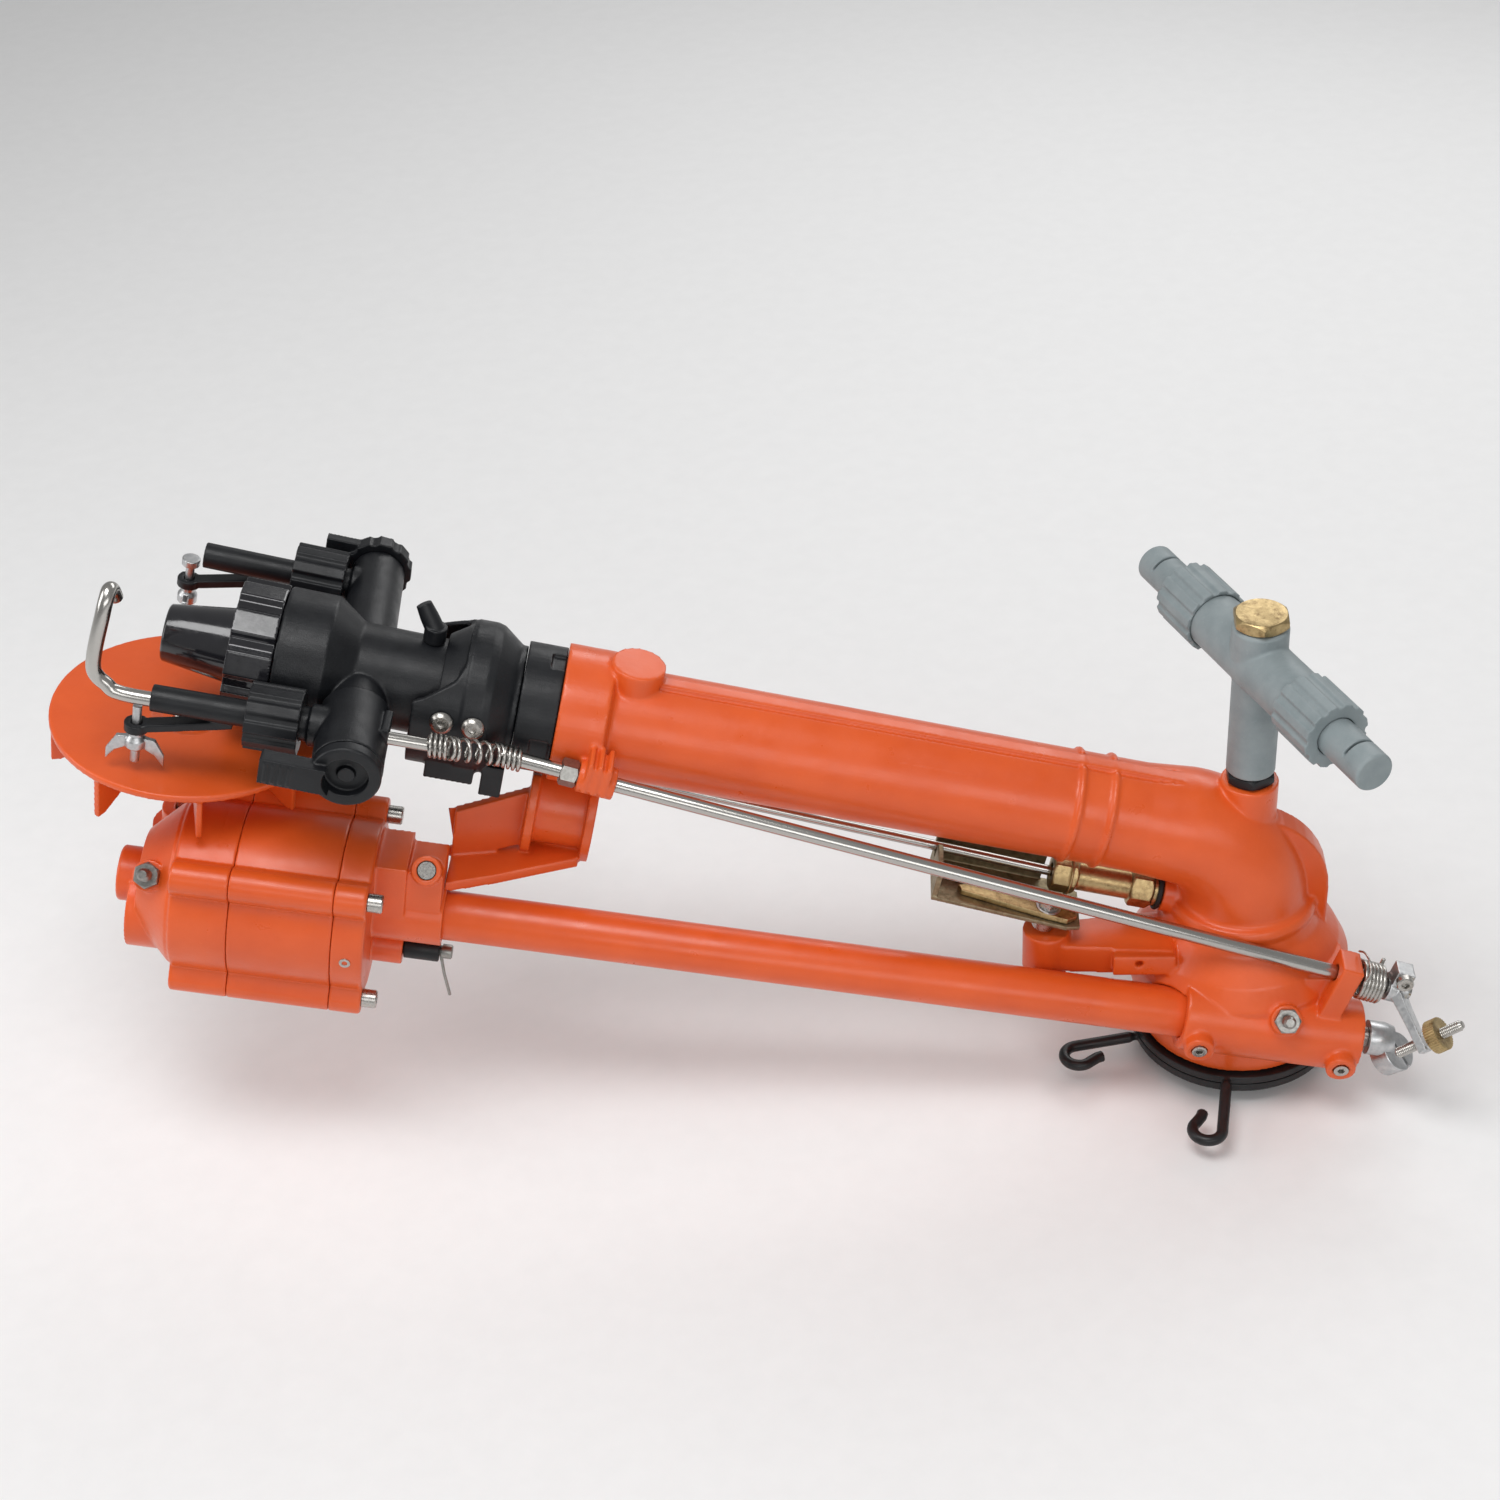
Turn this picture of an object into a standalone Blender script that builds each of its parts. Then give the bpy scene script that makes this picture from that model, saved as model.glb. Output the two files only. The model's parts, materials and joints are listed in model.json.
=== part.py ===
# Turbine-driven rotary sprinkler. All dimensions below are millimetres; meshes are written in metres.
# World: X along the barrel (the jet leaves towards -X), Z up along the swivel axis, Y across.
import math
import bpy
import bmesh
from mathutils import Matrix, Vector

# ------------------------------------------------------------------ driving dimensions
GAP = 0.3                     # clearance between touching pieces
BARREL_TILT = 14.0            # barrel above horizontal, degrees
BARREL_Z = 132.0              # height at which the barrel axis meets the swivel axis
BARREL_R, BARREL_BORE = 30.0, 25.5
BARREL_END = 378.0
COLLAR_R = 36.7
HEAD_TILT = 15.5
CROSS_SKEW = 0.065             # cross tube: far end ahead of square
HEAD_C = (-469.3, 0.0, 251.0)  # centre of the cross tube
DRIVE_TILT = 10.8
DRIVE_O = (0.0, -46.0, 39.5)   # worm centre on the drive line
TUBE_R, TUBE_BORE = 13.5, 10.0
HOUSING_R = 20.0
GEAR_R = 47.0                  # gearbox body radius
DISC_R = 73.3                  # turbine disc radius
DISC_U = 590.0                 # turbine shaft station on the drive line
RING_R = 56.5                  # stop ring radius
INLET_BORE = 25.0
ROD_R = 4.0
ROD_A = (-341.8, -44.0, 209.6)
ROD_B = (52.0, -46.0, 71.9)
SIDE_Y = {-1: -55.4, 1: 76.0}  # side outlets: near, far
SIDE_W = {-1: 2.0, 1: 1.0}
SIDE_DIP = {-1: -0.038, 1: 0.0}
TEE_Z = 247.0
TEE_YAW = 25.0                 # tee arm direction (sin, -cos)
WHEEL_TEETH = 24

for _o in list(bpy.data.objects):
    bpy.data.objects.remove(_o, do_unlink=True)
for _m in list(bpy.data.meshes):
    bpy.data.meshes.remove(_m)
for _m in list(bpy.data.materials):
    bpy.data.materials.remove(_m)

# ------------------------------------------------------------------ materials
def _mat(name, rgb, metal, rough):
    m = bpy.data.materials.new(name)
    m.use_nodes = True
    b = m.node_tree.nodes["Principled BSDF"]
    b.inputs["Base Color"].default_value = (rgb[0], rgb[1], rgb[2], 1.0)
    b.inputs["Metallic"].default_value = metal
    b.inputs["Roughness"].default_value = rough
    return m

MATS = {
    "orange": _mat("orange_paint", (0.80, 0.13, 0.03), 0.0, 0.45),
    "black": _mat("black_plastic", (0.02, 0.021, 0.024), 0.0, 0.5),
    "gloss": _mat("gloss_black", (0.01, 0.011, 0.014), 0.0, 0.12),
    "grey": _mat("grey_plastic", (0.25, 0.29, 0.30), 0.0, 0.5),
    "steel": _mat("stainless", (0.62, 0.60, 0.56), 1.0, 0.25),
    "zinc": _mat("zinc_plated", (0.66, 0.67, 0.68), 1.0, 0.35),
    "brass": _mat("brass", (0.50, 0.34, 0.13), 1.0, 0.4),
    "bronze": _mat("aged_bronze", (0.30, 0.22, 0.12), 1.0, 0.5),
    "iron": _mat("black_iron", (0.015, 0.015, 0.016), 0.3, 0.5),
}

# ------------------------------------------------------------------ frames
def unit(v):
    return Vector(v).normalized()

def frame(origin, u, w):
    """Frame whose local X is u, local Z is w (made square to u)."""
    u = unit(u)
    w = Vector(w)
    w = (w - u * w.dot(u)).normalized()
    v = w.cross(u)
    m = Matrix.Identity(4)
    for i in range(3):
        m[i][0], m[i][1], m[i][2], m[i][3] = u[i], v[i], w[i], origin[i]
    return m

def tilted(origin, deg):
    """Frame along (-cos, 0, sin), local Y = world Y, local Z up and across."""
    a = math.radians(deg)
    m = Matrix.Identity(4)
    cols = ((-math.cos(a), 0, math.sin(a)), (0, 1, 0), (math.sin(a), 0, math.cos(a)))
    for i in range(3):
        for j in range(3):
            m[i][j] = cols[j][i]
        m[i][3] = origin[i]
    return m

WORLD = Matrix.Identity(4)
BAR = tilted((0, 0, BARREL_Z), BARREL_TILT)
HEAD = tilted(HEAD_C, HEAD_TILT)
DRV = tilted(DRIVE_O, DRIVE_TILT)

def P(F, u, v, w):
    return F @ Vector((u, v, w))

def D(F, u, v, w):
    return (F.to_3x3() @ Vector((u, v, w))).normalized()

def sub(F, at, along, up):
    """Frame inside F: origin at, local X along, local Z up."""
    return frame(P(F, *at), D(F, *along), D(F, *up))

# ------------------------------------------------------------------ solids (world millimetres)
class Solid:
    def __init__(self, bm):
        bmesh.ops.remove_doubles(bm, verts=bm.verts, dist=1e-4)
        bmesh.ops.recalc_face_normals(bm, faces=bm.faces)
        me = bpy.data.meshes.new("tmp")
        bm.to_mesh(me)
        bm.free()
        self.ob = bpy.data.objects.new("tmp", me)
        bpy.context.scene.collection.objects.link(self.ob)

    def _op(self, other, op):
        mod = self.ob.modifiers.new("b", "BOOLEAN")
        mod.operation = op
        mod.solver = "EXACT"
        mod.object = other.ob
        dg = bpy.context.evaluated_depsgraph_get()
        me = bpy.data.meshes.new_from_object(self.ob.evaluated_get(dg))
        self.ob.modifiers.clear()
        old = self.ob.data
        self.ob.data = me
        bpy.data.meshes.remove(old)

    def add(self, *others):
        for o in others:
            self._op(o, "UNION")
            o.free()
        return self

    def cut(self, *others):
        for o in others:
            self._op(o, "DIFFERENCE")
            o.free()
        return self

    def meet(self, other):
        self._op(other, "INTERSECT")
        other.free()
        return self

    def free(self):
        me = self.ob.data
        bpy.data.objects.remove(self.ob, do_unlink=True)
        bpy.data.meshes.remove(me)

def loft(rings, closed=False):
    """Rings of equal point counts, joined in order; ends capped unless closed."""
    bm = bmesh.new()
    vr = [[bm.verts.new(p) for p in r] for r in rings]
    n = len(vr[0])
    pairs = list(zip(vr[:-1], vr[1:])) + ([(vr[-1], vr[0])] if closed else [])
    for a, b in pairs:
        for i in range(n):
            j = (i + 1) % n
            bm.faces.new((a[i], a[j], b[j], b[i]))
    if not closed:
        bm.faces.new(list(reversed(vr[0])))
        bm.faces.new(vr[-1])
    return Solid(bm)

def ring_pts(F, u, r, n, phase=0.0, cv=0.0, cw=0.0):
    return [P(F, u, cv + r * math.cos(2 * math.pi * i / n + phase), cw + r * math.sin(2 * math.pi * i / n + phase))
            for i in range(n)]

def turn(F, prof, n=24, closed=False, phase=0.0):
    """Turned solid about the local X axis; prof is (u, r)."""
    prof = [(u, max(r, 0.02)) for u, r in prof]
    return loft([ring_pts(F, u, r, n, phase) for u, r in prof], closed)

def cyl(F, u0, u1, r, n=24, phase=0.0):
    return turn(F, [(u0, r), (u1, r)], n, phase=phase)

def tube(F, u0, u1, r0, r1, n=24):
    """Pipe with inner radius r0 and outer radius r1."""
    return turn(F, [(u0, r0), (u0, r1), (u1, r1), (u1, r0)], n, closed=True)

def box(F, us, vs, ws):
    ring = lambda u: [P(F, u, vs[0], ws[0]), P(F, u, vs[1], ws[0]), P(F, u, vs[1], ws[1]), P(F, u, vs[0], ws[1])]
    return loft([ring(us[0]), ring(us[1])])

def prism(F, poly, v0, v1):
    """Outline in local (u, w), pushed along local v."""
    return loft([[P(F, u, v0, w) for u, w in poly], [P(F, u, v1, w) for u, w in poly]])

def slab(F, poly, w0, w1):
    """Outline in local (u, v), pushed along local w."""
    return loft([[P(F, u, v, w0) for u, v in poly], [P(F, u, v, w1) for u, v in poly]])

def sweep(pts, radii, n=12, up=(0, 1, 0)):
    """Round bar along world points with parallel-carried rings."""
    pts = [Vector(p) for p in pts]
    if not hasattr(radii, "__len__"):
        radii = [radii] * len(pts)
    rings = []
    up = Vector(up)
    for i, p in enumerate(pts):
        if i == 0:
            t = (pts[1] - pts[0]).normalized()
        elif i == len(pts) - 1:
            t = (pts[-1] - pts[-2]).normalized()
        else:
            t = ((pts[i + 1] - p).normalized() + (p - pts[i - 1]).normalized()).normalized()
        a = (up - t * up.dot(t)).normalized()
        b = t.cross(a)
        rings.append([p + radii[i] * (math.cos(2 * math.pi * k / n) * a + math.sin(2 * math.pi * k / n) * b)
                      for k in range(n)])
        up = a
    return loft(rings)

def arc(c, a, b, r, d0, d1, n):
    """Points round c in the plane of unit vectors a, b."""
    c, a, b = Vector(c), Vector(a), Vector(b)
    return [c + r * (math.cos(math.radians(d0 + (d1 - d0) * i / n)) * a + math.sin(math.radians(d0 + (d1 - d0) * i / n)) * b)
            for i in range(n + 1)]

def ribbed(F, u0, u1, r, depth, lobes, bore, duty=0.5):
    """Grip ring: outline with raised ribs and a round bore."""
    steps = lobes * 4
    def ring(u, inner):
        out = []
        for i in range(steps):
            k = i % 4
            a = 2 * math.pi * (i // 4 + (0.0, 0.12, 0.12 + duty, 0.24 + duty)[k]) / lobes
            rr = inner if inner is not None else (r - depth if k in (0, 3) else r)
            out.append(P(F, u, rr * math.cos(a), rr * math.sin(a)))
        return out
    return loft([ring(u0, bore), ring(u0, None), ring(u1, None), ring(u1, bore)], closed=True)

def hexa(F, u0, u1, af, bore=None):
    r = af / 2 / math.cos(math.pi / 6)
    s = turn(F, [(u0, r), (u1, r)], 6)
    if bore:
        s.cut(cyl(F, u0 - 1, u1 + 1, bore, 12))
    return s

def emit(name, solid, mat, origin=(0, 0, 0), sharp=34):
    """Name a solid, put its origin where its joint is and store it in metres."""
    ob = solid.ob
    me = ob.data
    bm = bmesh.new()
    bm.from_mesh(me)
    bmesh.ops.remove_doubles(bm, verts=bm.verts, dist=1e-4)
    o = Vector(origin)
    for v in bm.verts:
        v.co = (v.co - o) * 0.001
    bm.to_mesh(me)
    bm.free()
    me.name = name
    ob.name = name
    ob.location = o * 0.001
    me.materials.clear()
    me.materials.append(MATS[mat])
    me.shade_smooth()
    me.set_sharp_from_angle(angle=math.radians(sharp))
    return ob

# ------------------------------------------------------------------ fixed inlet
ZF = frame((0, 0, 0), (0, 0, 1), (1, 0, 0))          # local X = world Z

inlet = turn(ZF, [(-14, INLET_BORE), (-14, 38), (-4.2, 38), (-4.2, 29.6), (62, 29.6), (62, INLET_BORE)], 32, closed=True)
emit("inlet_hub", inlet, "iron")

_teeth = []
for _i in range(WHEEL_TEETH):
    for _f, _r in ((0.0, 34.2), (0.35, 37.5), (0.65, 37.5)):
        _a = 2 * math.pi * (_i + _f) / WHEEL_TEETH
        _teeth.append((_r * math.cos(_a), _r * math.sin(_a)))
_inn = [(29.9 * math.cos(math.atan2(y, x)), 29.9 * math.sin(math.atan2(y, x))) for x, y in _teeth]
wheel = loft([[Vector((x, y, z)) for x, y in p] for p, z in ((_inn, 34), (_teeth, 34), (_teeth, 45), (_inn, 45))], closed=True)
emit("worm_wheel", wheel, "bronze")

def stop_ring(zc, deg, side, drop):
    """Adjustable ring with a bent wire stop; side gives the way that the hook turns."""
    s = turn(ZF, [(zc - 2.4, 30.3), (zc - 2.4, RING_R), (zc + 2.4, RING_R), (zc + 2.4, 30.3)], 28, closed=True)
    a = math.radians(deg)
    e = Vector((math.cos(a), math.sin(a), 0))
    t = Vector((-math.sin(a), math.cos(a), 0)) * side
    z = Vector((0, 0, zc))
    w = Vector((0, 0, zc - drop))
    pts = [z + e * 53, w + e * 86, w + e * 90]
    c = w + e * 93 + t * 8.0
    pts += arc(c, -t, e, 8.0, 0, 200, 8)
    pts.append(pts[-1] - e * 7 + t * 2)
    pts[1:1] = [z + e * 58.5, z + e * 61]
    return s.add(sweep(pts, [2.3, 2.3] + [3.2] * (len(pts) - 2), 8, (0, 0, 1)))

emit("stop_ring_upper", stop_ring(4.0, 261, -1, 3.9), "iron")
emit("stop_ring_lower", stop_ring(-1.4, 193, 1, 0.0), "iron")

# ------------------------------------------------------------------ gun casting
def elbow_path(z0, n=6):
    pts = [Vector((0, 0, z0)), Vector((0, 0, 97))]
    for i in range(1, n + 1):
        f = math.radians((90 - BARREL_TILT) * i / n)
        pts.append(Vector((-45 + 45 * math.cos(f), 0, 97 + 45 * math.sin(f))))
    return pts

_ep = elbow_path(60)
_bar = [(60, 30), (78.5, 30), (79.4, 31.7), (81.6, 31.7), (82.5, 30), (96.5, 30), (97.4, 31.7), (99.6, 31.7), (100.5, 30),
        (350, 30), (352.5, COLLAR_R), (BARREL_END, COLLAR_R)]
gun = sweep(_ep + [P(BAR, u, 0, 0) for u, r in _bar],
            [38, 35.5] + [35 - 0.5 * i for i in range(6)] + [r for u, r in _bar], 24)
bell = turn(ZF, [(8, 53), (22, 56), (40, 59.5), (57, 60.5), (69, 54.5), (82, 43), (94, 38), (98, 35)], 28)
gun.add(bell)
gun.add(turn(ZF, [(84, 36), (88.5, 40.6), (92, 40.9), (95.5, 39.2), (97, 33)], 26))
gun.add(cyl(sub(BAR, (341, 0, 18), (0, 0, 1), (1, 0, 0)), 0, 21.5, 14.5, 18))
gun.add(box(BAR, (38, 345), (-4.5, 4.5), (26, 31.4)))
gun.add(prism(WORLD, [(10, 60), (46, 60)] + [(-2.5 + 48.5 * math.cos(math.radians(a)), 101 + 48.5 * math.sin(math.radians(a))) for a in range(0, 76, 9)], -8, 8))
gun.add(cyl(ZF, 140, 171.6, 15.5, 16))
# worm housing with its bosses
gun.add(cyl(DRV, -62, 36, HOUSING_R, 20))
for _x, _z in ((-27, 40), (50, 25)):
    gun.add(cyl(frame((_x, -52, _z + 3), (0, -1, -0.12), (0, 0, 1)), 0, 20, 8.2, 12))
gun.add(cyl(frame((19.7, -50, 45), (0, -0.8, 0.6), (0, 0, 1)), 0, 19, 8.5, 14))
# ear that carries the rear of the long rod
RODF = frame(ROD_B, Vector(ROD_A) - Vector(ROD_B), (0, 0, 1))   # local X runs from the rear ear to the muzzle
gun.add(prism(RODF, [(-6, 10), (6, 10), (6, -32), (-6, -32)], -9.5, 9.5))
gun.add(box(frame((40, -30, 55), (1, 0, 0), (0, 0, 1)), (-8, 14), (-16, 14), (-12, 14)))
# ear at the muzzle for the front of the long rod
_rl = (Vector(ROD_A) - Vector(ROD_B)).length
gun.add(cyl(RODF, _rl - 8, _rl + 12, 8.5, 16))
gun.add(box(BAR, (346, 357), (-44, -24), (-18, -2)))
# pads for the trip gear, boss for its fitting
gun.add(slab(WORLD, [(-40, -33), (-107, -29), (-107, -8), (-40, 2)], 62, 80))
gun.add(cyl(frame((-107.7, -18.5, 0), (0, 0, 1), (1, 0, 0)), 58, 84.8, 13, 20))
gun.add(box(WORLD, (-38, -72), (-38, -18), (66, 79)))
FIT = tilted((-30, 0, 91.3), BARREL_TILT)           # line of the brass fitting
gun.add(cyl(FIT, -4, 15, 11, 18))
# waterways
gun.cut(sweep([Vector((0, 0, 52))] + _ep + [P(BAR, 60, 0, 0), P(BAR, BARREL_END + 3, 0, 0)], [26.5] * 3 + [BARREL_BORE] * 8, 18))
gun.cut(turn(ZF, [(5, 46), (50, 46), (50, 30), (63.5, 30)], 22))
gun.cut(cyl(DRV, -68, 17, 10, 18), cyl(DRV, 15, 62, TUBE_R + GAP, 24))
gun.cut(cyl(frame((0, 0, 150), (0, 0, 1), (1, 0, 0)), -10, 23, 8, 16))
gun.cut(cyl(RODF, -20, 30, ROD_R + 0.5, 14), cyl(RODF, _rl - 30, _rl + 30, ROD_R + 0.5, 14))
gun.cut(cyl(FIT, 7, 17, 7.6, 14))
for _x, _z in ((-27, 40), (50, 25)):
    gun.cut(cyl(frame((_x, -52, _z + 3), (0, -1, -0.12), (0, 0, 1)), 8, 21, 4.3, 12))
gun.cut(cyl(frame((19.7, -50, 45), (0, -0.8, 0.6), (0, 0, 1)), 9, 20, 3.3, 10))
emit("gun_casting", gun, "orange")

# ------------------------------------------------------------------ drive line
emit("drive_tube", tube(DRV, 21, 458, TUBE_BORE, TUBE_R, 24), "orange")
_pr = []
for _i in range(8):
    _pr += [(-20 + _i * 5.0, 6.2), (-18.4 + _i * 5.0, 8.2), (-16.6 + _i * 5.0, 8.2)]
shaft = turn(DRV, [(-68, 6)] + _pr + [(22, 6), (474, 6)], 12)
emit("drive_shaft", shaft, "steel", P(DRV, 0, 0, 0))
CAM = frame(P(DRV, -68.3, -4, -3.7), D(DRV, -1, 0, 0), (0, 0, 1))
cam = turn(frame(P(DRV, -68.3, 0, 0), D(DRV, -1, 0, 0), (0, 0, 1)), [(0, 9.5), (9, 9.5), (14, 8)], 24)
CAF = frame(P(CAM, 18.5, 0, 0), (0.60, -0.39, 0.70), (0, 0, 1))      # slanting face
cam.add(turn(CAF, [(-13, 8.5), (-11, 11), (0, 11), (0.4, 10.6)], 24))
cam.cut(box(frame(P(CAF, 0, 0, 0), D(CAF, 1, 0, 0), (0.5, -0.3, 0.8)), (-1.2, 3), (-0.9, 0.9), (-12, 12)))
cam.cut(box(DRV, (-68, -40), (-30, 30), (-30, 30)))
emit("drive_cam", cam, "zinc", P(DRV, 0, 0, 0))
for _n, _x, _z in (("left", -27, 40), ("right", 50, 25)):
    _f = frame((_x, -52, _z + 3), (0, -1, -0.12), (0, 0, 1))
    s = cyl(_f, 10, 20.4, 4.0, 12)
    s.cut(hexa(_f, 17.5, 21, 3.6))
    emit("housing_set_screw_" + _n, s, "steel")

def nipple(F, u0):
    """Hexagon base with a stepped ball end."""
    s = hexa(F, u0, u0 + 5, 12.5)
    s.add(turn(F, [(u0 - 8, 2.9), (u0 + 6, 2.9), (u0 + 6.8, 3.6), (u0 + 9, 2.3), (u0 + 10.5, 2.3), (u0 + 12, 3.4), (u0 + 13.5, 2.2)], 8))
    return s

emit("housing_nipple", nipple(frame((19.7, -50, 45), (0, -0.8, 0.6), (0, 0, 1)), 19.3), "steel")

# ------------------------------------------------------------------ gearbox
def gear_outline(u, n=48, r0=GEAR_R, grow=0.0):
    """Round body with four screw ridges, as a ring at station u."""
    pts = []
    for i in range(n):
        a = 2 * math.pi * i / n
        r = r0
        for k in range(4):
            c = math.radians(48.2 + 90 * k)
            d = a - c
            s = 50 * math.sin(d)
            if abs(s) < 9 and math.cos(d) > 0:
                r = max(r, 50 * math.cos(d) + math.sqrt(81 - s * s))
        r += grow
        pts.append(P(DRV, u, r * math.cos(a), r * math.sin(a)))
    return pts

def gear_block(stations):
    return loft([gear_outline(u, grow=g) for u, g in stations])

SCREWS = [(50 * math.cos(math.radians(48.2 + 90 * k)), 50 * math.sin(math.radians(48.2 + 90 * k))) for k in range(4)]
SELF = sub(DRV, (461.7, 0, -26), (-1, 0, 0), (0, 0, 1))        # selector pin, pulled out away from the gearbox

rear = gear_block([(479, -1), (480, 0), (495, 0), (496, -1)])
rear.add(cyl(DRV, 441.3, 482, 17, 24), box(DRV, (462, 482), (-16, 18), (-4, 40)), box(DRV, (443, 464), (-13, 15), (-2, 37)))
rear.add(cyl(sub(DRV, (482, 0, -26), (-1, 0, 0), (0, 0, 1)), 0, 20, 10, 18))
NSC = sub(DRV, (452, -3, 31), (0, -0.75, 0.66), (1, 0, 0))
rear.add(cyl(NSC, -2, 15.5, 8, 14))
rear.cut(cyl(DRV, 440, 459, TUBE_R + GAP, 20), cyl(DRV, 455, 497, 7.5, 12))
rear.cut(cyl(SELF, -38, 1, 4.6, 14))
rear.cut(cyl(NSC, 3, 17, 5.2, 12))
for _v, _w in SCREWS:
    rear.cut(cyl(sub(DRV, (497.5, _v, _w), (-1, 0, 0), (0, 0, 1)), 0, 20, 3.0, 10))
emit("gearbox_rear_cover", rear, "orange")

body = gear_block([(496.3, -1), (497.3, 0), (550, 0), (550.8, -0.8)])
body.cut(cyl(DRV, 495, 540, 40, 24))
emit("gearbox_body", body, "orange")

front = gear_block([(551.1, -0.8), (552, 0), (560.2, 0), (560.6, -0.8), (561, 0), (581, 0), (582, -1)])
front.add(turn(DRV, [(579, 45), (584, 44.5), (603, 26)], 24))
front.add(cyl(sub(DRV, (560, -6, -15), (1, 0, 0), (0, 0, 1)), 0, 48.5, 23, 22))
front.add(turn(DRV, [(592, 15), (615.3, 15), (616.3, 14)], 18))
front.add(cyl(sub(DRV, (DISC_U, 46, -32), (0, 0, 1), (1, 0, 0)), 0, 34, 19, 18))
front.add(cyl(sub(DRV, (DISC_U, 46, 0), (0, 0, 1), (1, 0, 0)), 0, 14, 14, 18))
FNI = sub(DRV, (594, -9, 7), (0.05, -0.75, 0.66), (1, 0, 0))
front.add(cyl(FNI, 0, 28, 8.5, 12))
front.cut(cyl(DRV, 550, 572, 38, 22))
front.cut(cyl(sub(DRV, (DISC_U, 46, -27), (0, 0, 1), (1, 0, 0)), 0, 45, 6.6, 14))
front.cut(cyl(FNI, 18, 30, 3.3, 8))
emit("gearbox_front_cover", front, "orange")

for _k, (_v, _w) in enumerate(SCREWS):
    _f = sub(DRV, (496, _v, _w), (-1, 0, 0), (0, 0, 1))
    s = turn(_f, [(1, 2.6), (17.3, 2.6), (17.3, 5), (24.3, 5), (25, 4.4)], 10)
    s.cut(hexa(_f, 21.5, 26, 4.6))
    emit("cap_screw_%d" % (_k + 1), s, "steel")

sel = turn(SELF, [(-22, 4.2), (0.4, 4.2), (0.4, 6.3), (19, 6.3), (19.6, 5.6), (19.6, 3.0), (21, 3.0), (21, 4), (26, 4), (26.6, 3.2)], 12)
_p = P(SELF, 20.4, 0, 0)
sel.add(sweep([_p + Vector((0, -1, 2)), _p + Vector((0.3, -3.6, -3)), _p + Vector((0.8, -5.2, -12)), _p + Vector((2.2, -5.6, -27))], 0.9, 6, (1, 0, 0)))
emit("selector_pin", sel, "black", P(SELF, 0, 0, 0))

s = turn(NSC, [(3.4, 2.9), (9.6, 2.9), (9.6, 4.7), (14, 4.7)], 14)
s.cut(hexa(NSC, 11.6, 15.5, 4.6))
emit("neck_clamp_screw", s, "steel")
emit("cover_nipple", nipple(FNI, 28.3), "steel")

# bracket from the gearbox neck to the saddle drum under the muzzle
SAD = frame(P(BAR, 366, 0, -61), D(BAR, 1, 0, 0), (0, 0, 1))
br = turn(SAD, [(-18, 29), (-13, 29), (-13, 22.5), (14, 22.5), (14, 29), (19, 29)], 22)
br.cut(box(SAD, (-30, 30), (-40, -24.5), (-40, 40)))
br.add(loft([[Vector((-452, y, z)) for y, z in ((-20, 138), (-26, 138), (-26, 168), (-20, 168))],
             [Vector((-374, y, z)) for y, z in ((-6, 148), (-12, 148), (-12, 182), (-6, 182))]]))
br.add(loft([[Vector((-441, y, z)) for y, z in ((-18, 139), (-50, 139), (-50, 145), (-18, 145))],
             [Vector((-405, y, z)) for y, z in ((4, 136.5), (-38, 136.5), (-38, 142.5), (4, 142.5))],
             [Vector((-362, y, z)) for y, z in ((14, 136), (-24, 136), (-24, 142), (14, 142))]]))
br.cut(cyl(SAD, -20, 21, 14, 14), cyl(BAR, 340, 400, COLLAR_R + GAP + 0.4, 28))
br.cut(box(DRV, (442.7, 520), (-30, 30), (-30, 60)), cyl(DRV, 440.5, 500, 17.5, 24))
emit("support_bracket", br, "orange")

# ------------------------------------------------------------------ turbine
TUR = sub(DRV, (DISC_U, 46, 0), (0, 0, 1), (1, 0, 0))          # local X up the turbine shaft
disc = turn(TUR, [(74, DISC_R), (77.4, DISC_R), (78, DISC_R - 0.8), (78, 20), (75.4, 14)], 36)
disc.add(turn(TUR, [(49, 11), (60, 12), (74.5, 15)], 14))
for _k in range(8):
    _a = 2 * math.pi * (_k + 0.35) / 8
    _f = sub(TUR, (0, 0, 0), (0, math.cos(_a), math.sin(_a)), (1, 0, 0))
    disc.add(prism(_f, [(22, 74.6), (DISC_R - 1, 74.6), (DISC_R - 1, 50), (DISC_R - 6, 50), (34, 68), (22, 70)], -1.6, 1.6))
disc.cut(cyl(TUR, 40, 80, 6.3, 12))
emit("turbine_disc", disc, "orange", P(TUR, 76, 0, 0))
tsh = turn(TUR, [(-24, 6), (75.8, 6), (75.8, 9), (79, 9), (81, 6)], 14)
emit("turbine_shaft", tsh, "steel", P(TUR, 76, 0, 0))

# ------------------------------------------------------------------ priming tee on the elbow
UP = frame((0, 0, 0), (0, 0, 1), (1, 0, 0))
nip = hexa(UP, 171.9, 178.4, 24)
nip.add(cyl(UP, 160, 173, 7.7, 16))
nip.cut(cyl(UP, 159, 180, 5, 12))
emit("riser_nipple", nip, "black")
_ty = math.radians(TEE_YAW)
TEE = frame((0, 0, TEE_Z), (math.sin(_ty), -math.cos(_ty), 0), (0, 0, 1))
tee = cyl(UP, 178.7, TEE_Z, 13, 20)
tee.add(turn(TEE, [(-62, 15.5), (62, 15.5)], 22))
tee.add(turn(UP, [(TEE_Z, 15), (269, 15), (270.2, 13.5)], 18))
tee.cut(cyl(UP, 177, 269, 9, 14), cyl(TEE, -63, 63, 9.5, 14))
tee.cut(cyl(UP, 256, 272, 10.3, 16))
emit("tee_body", tee, "grey")
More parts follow.
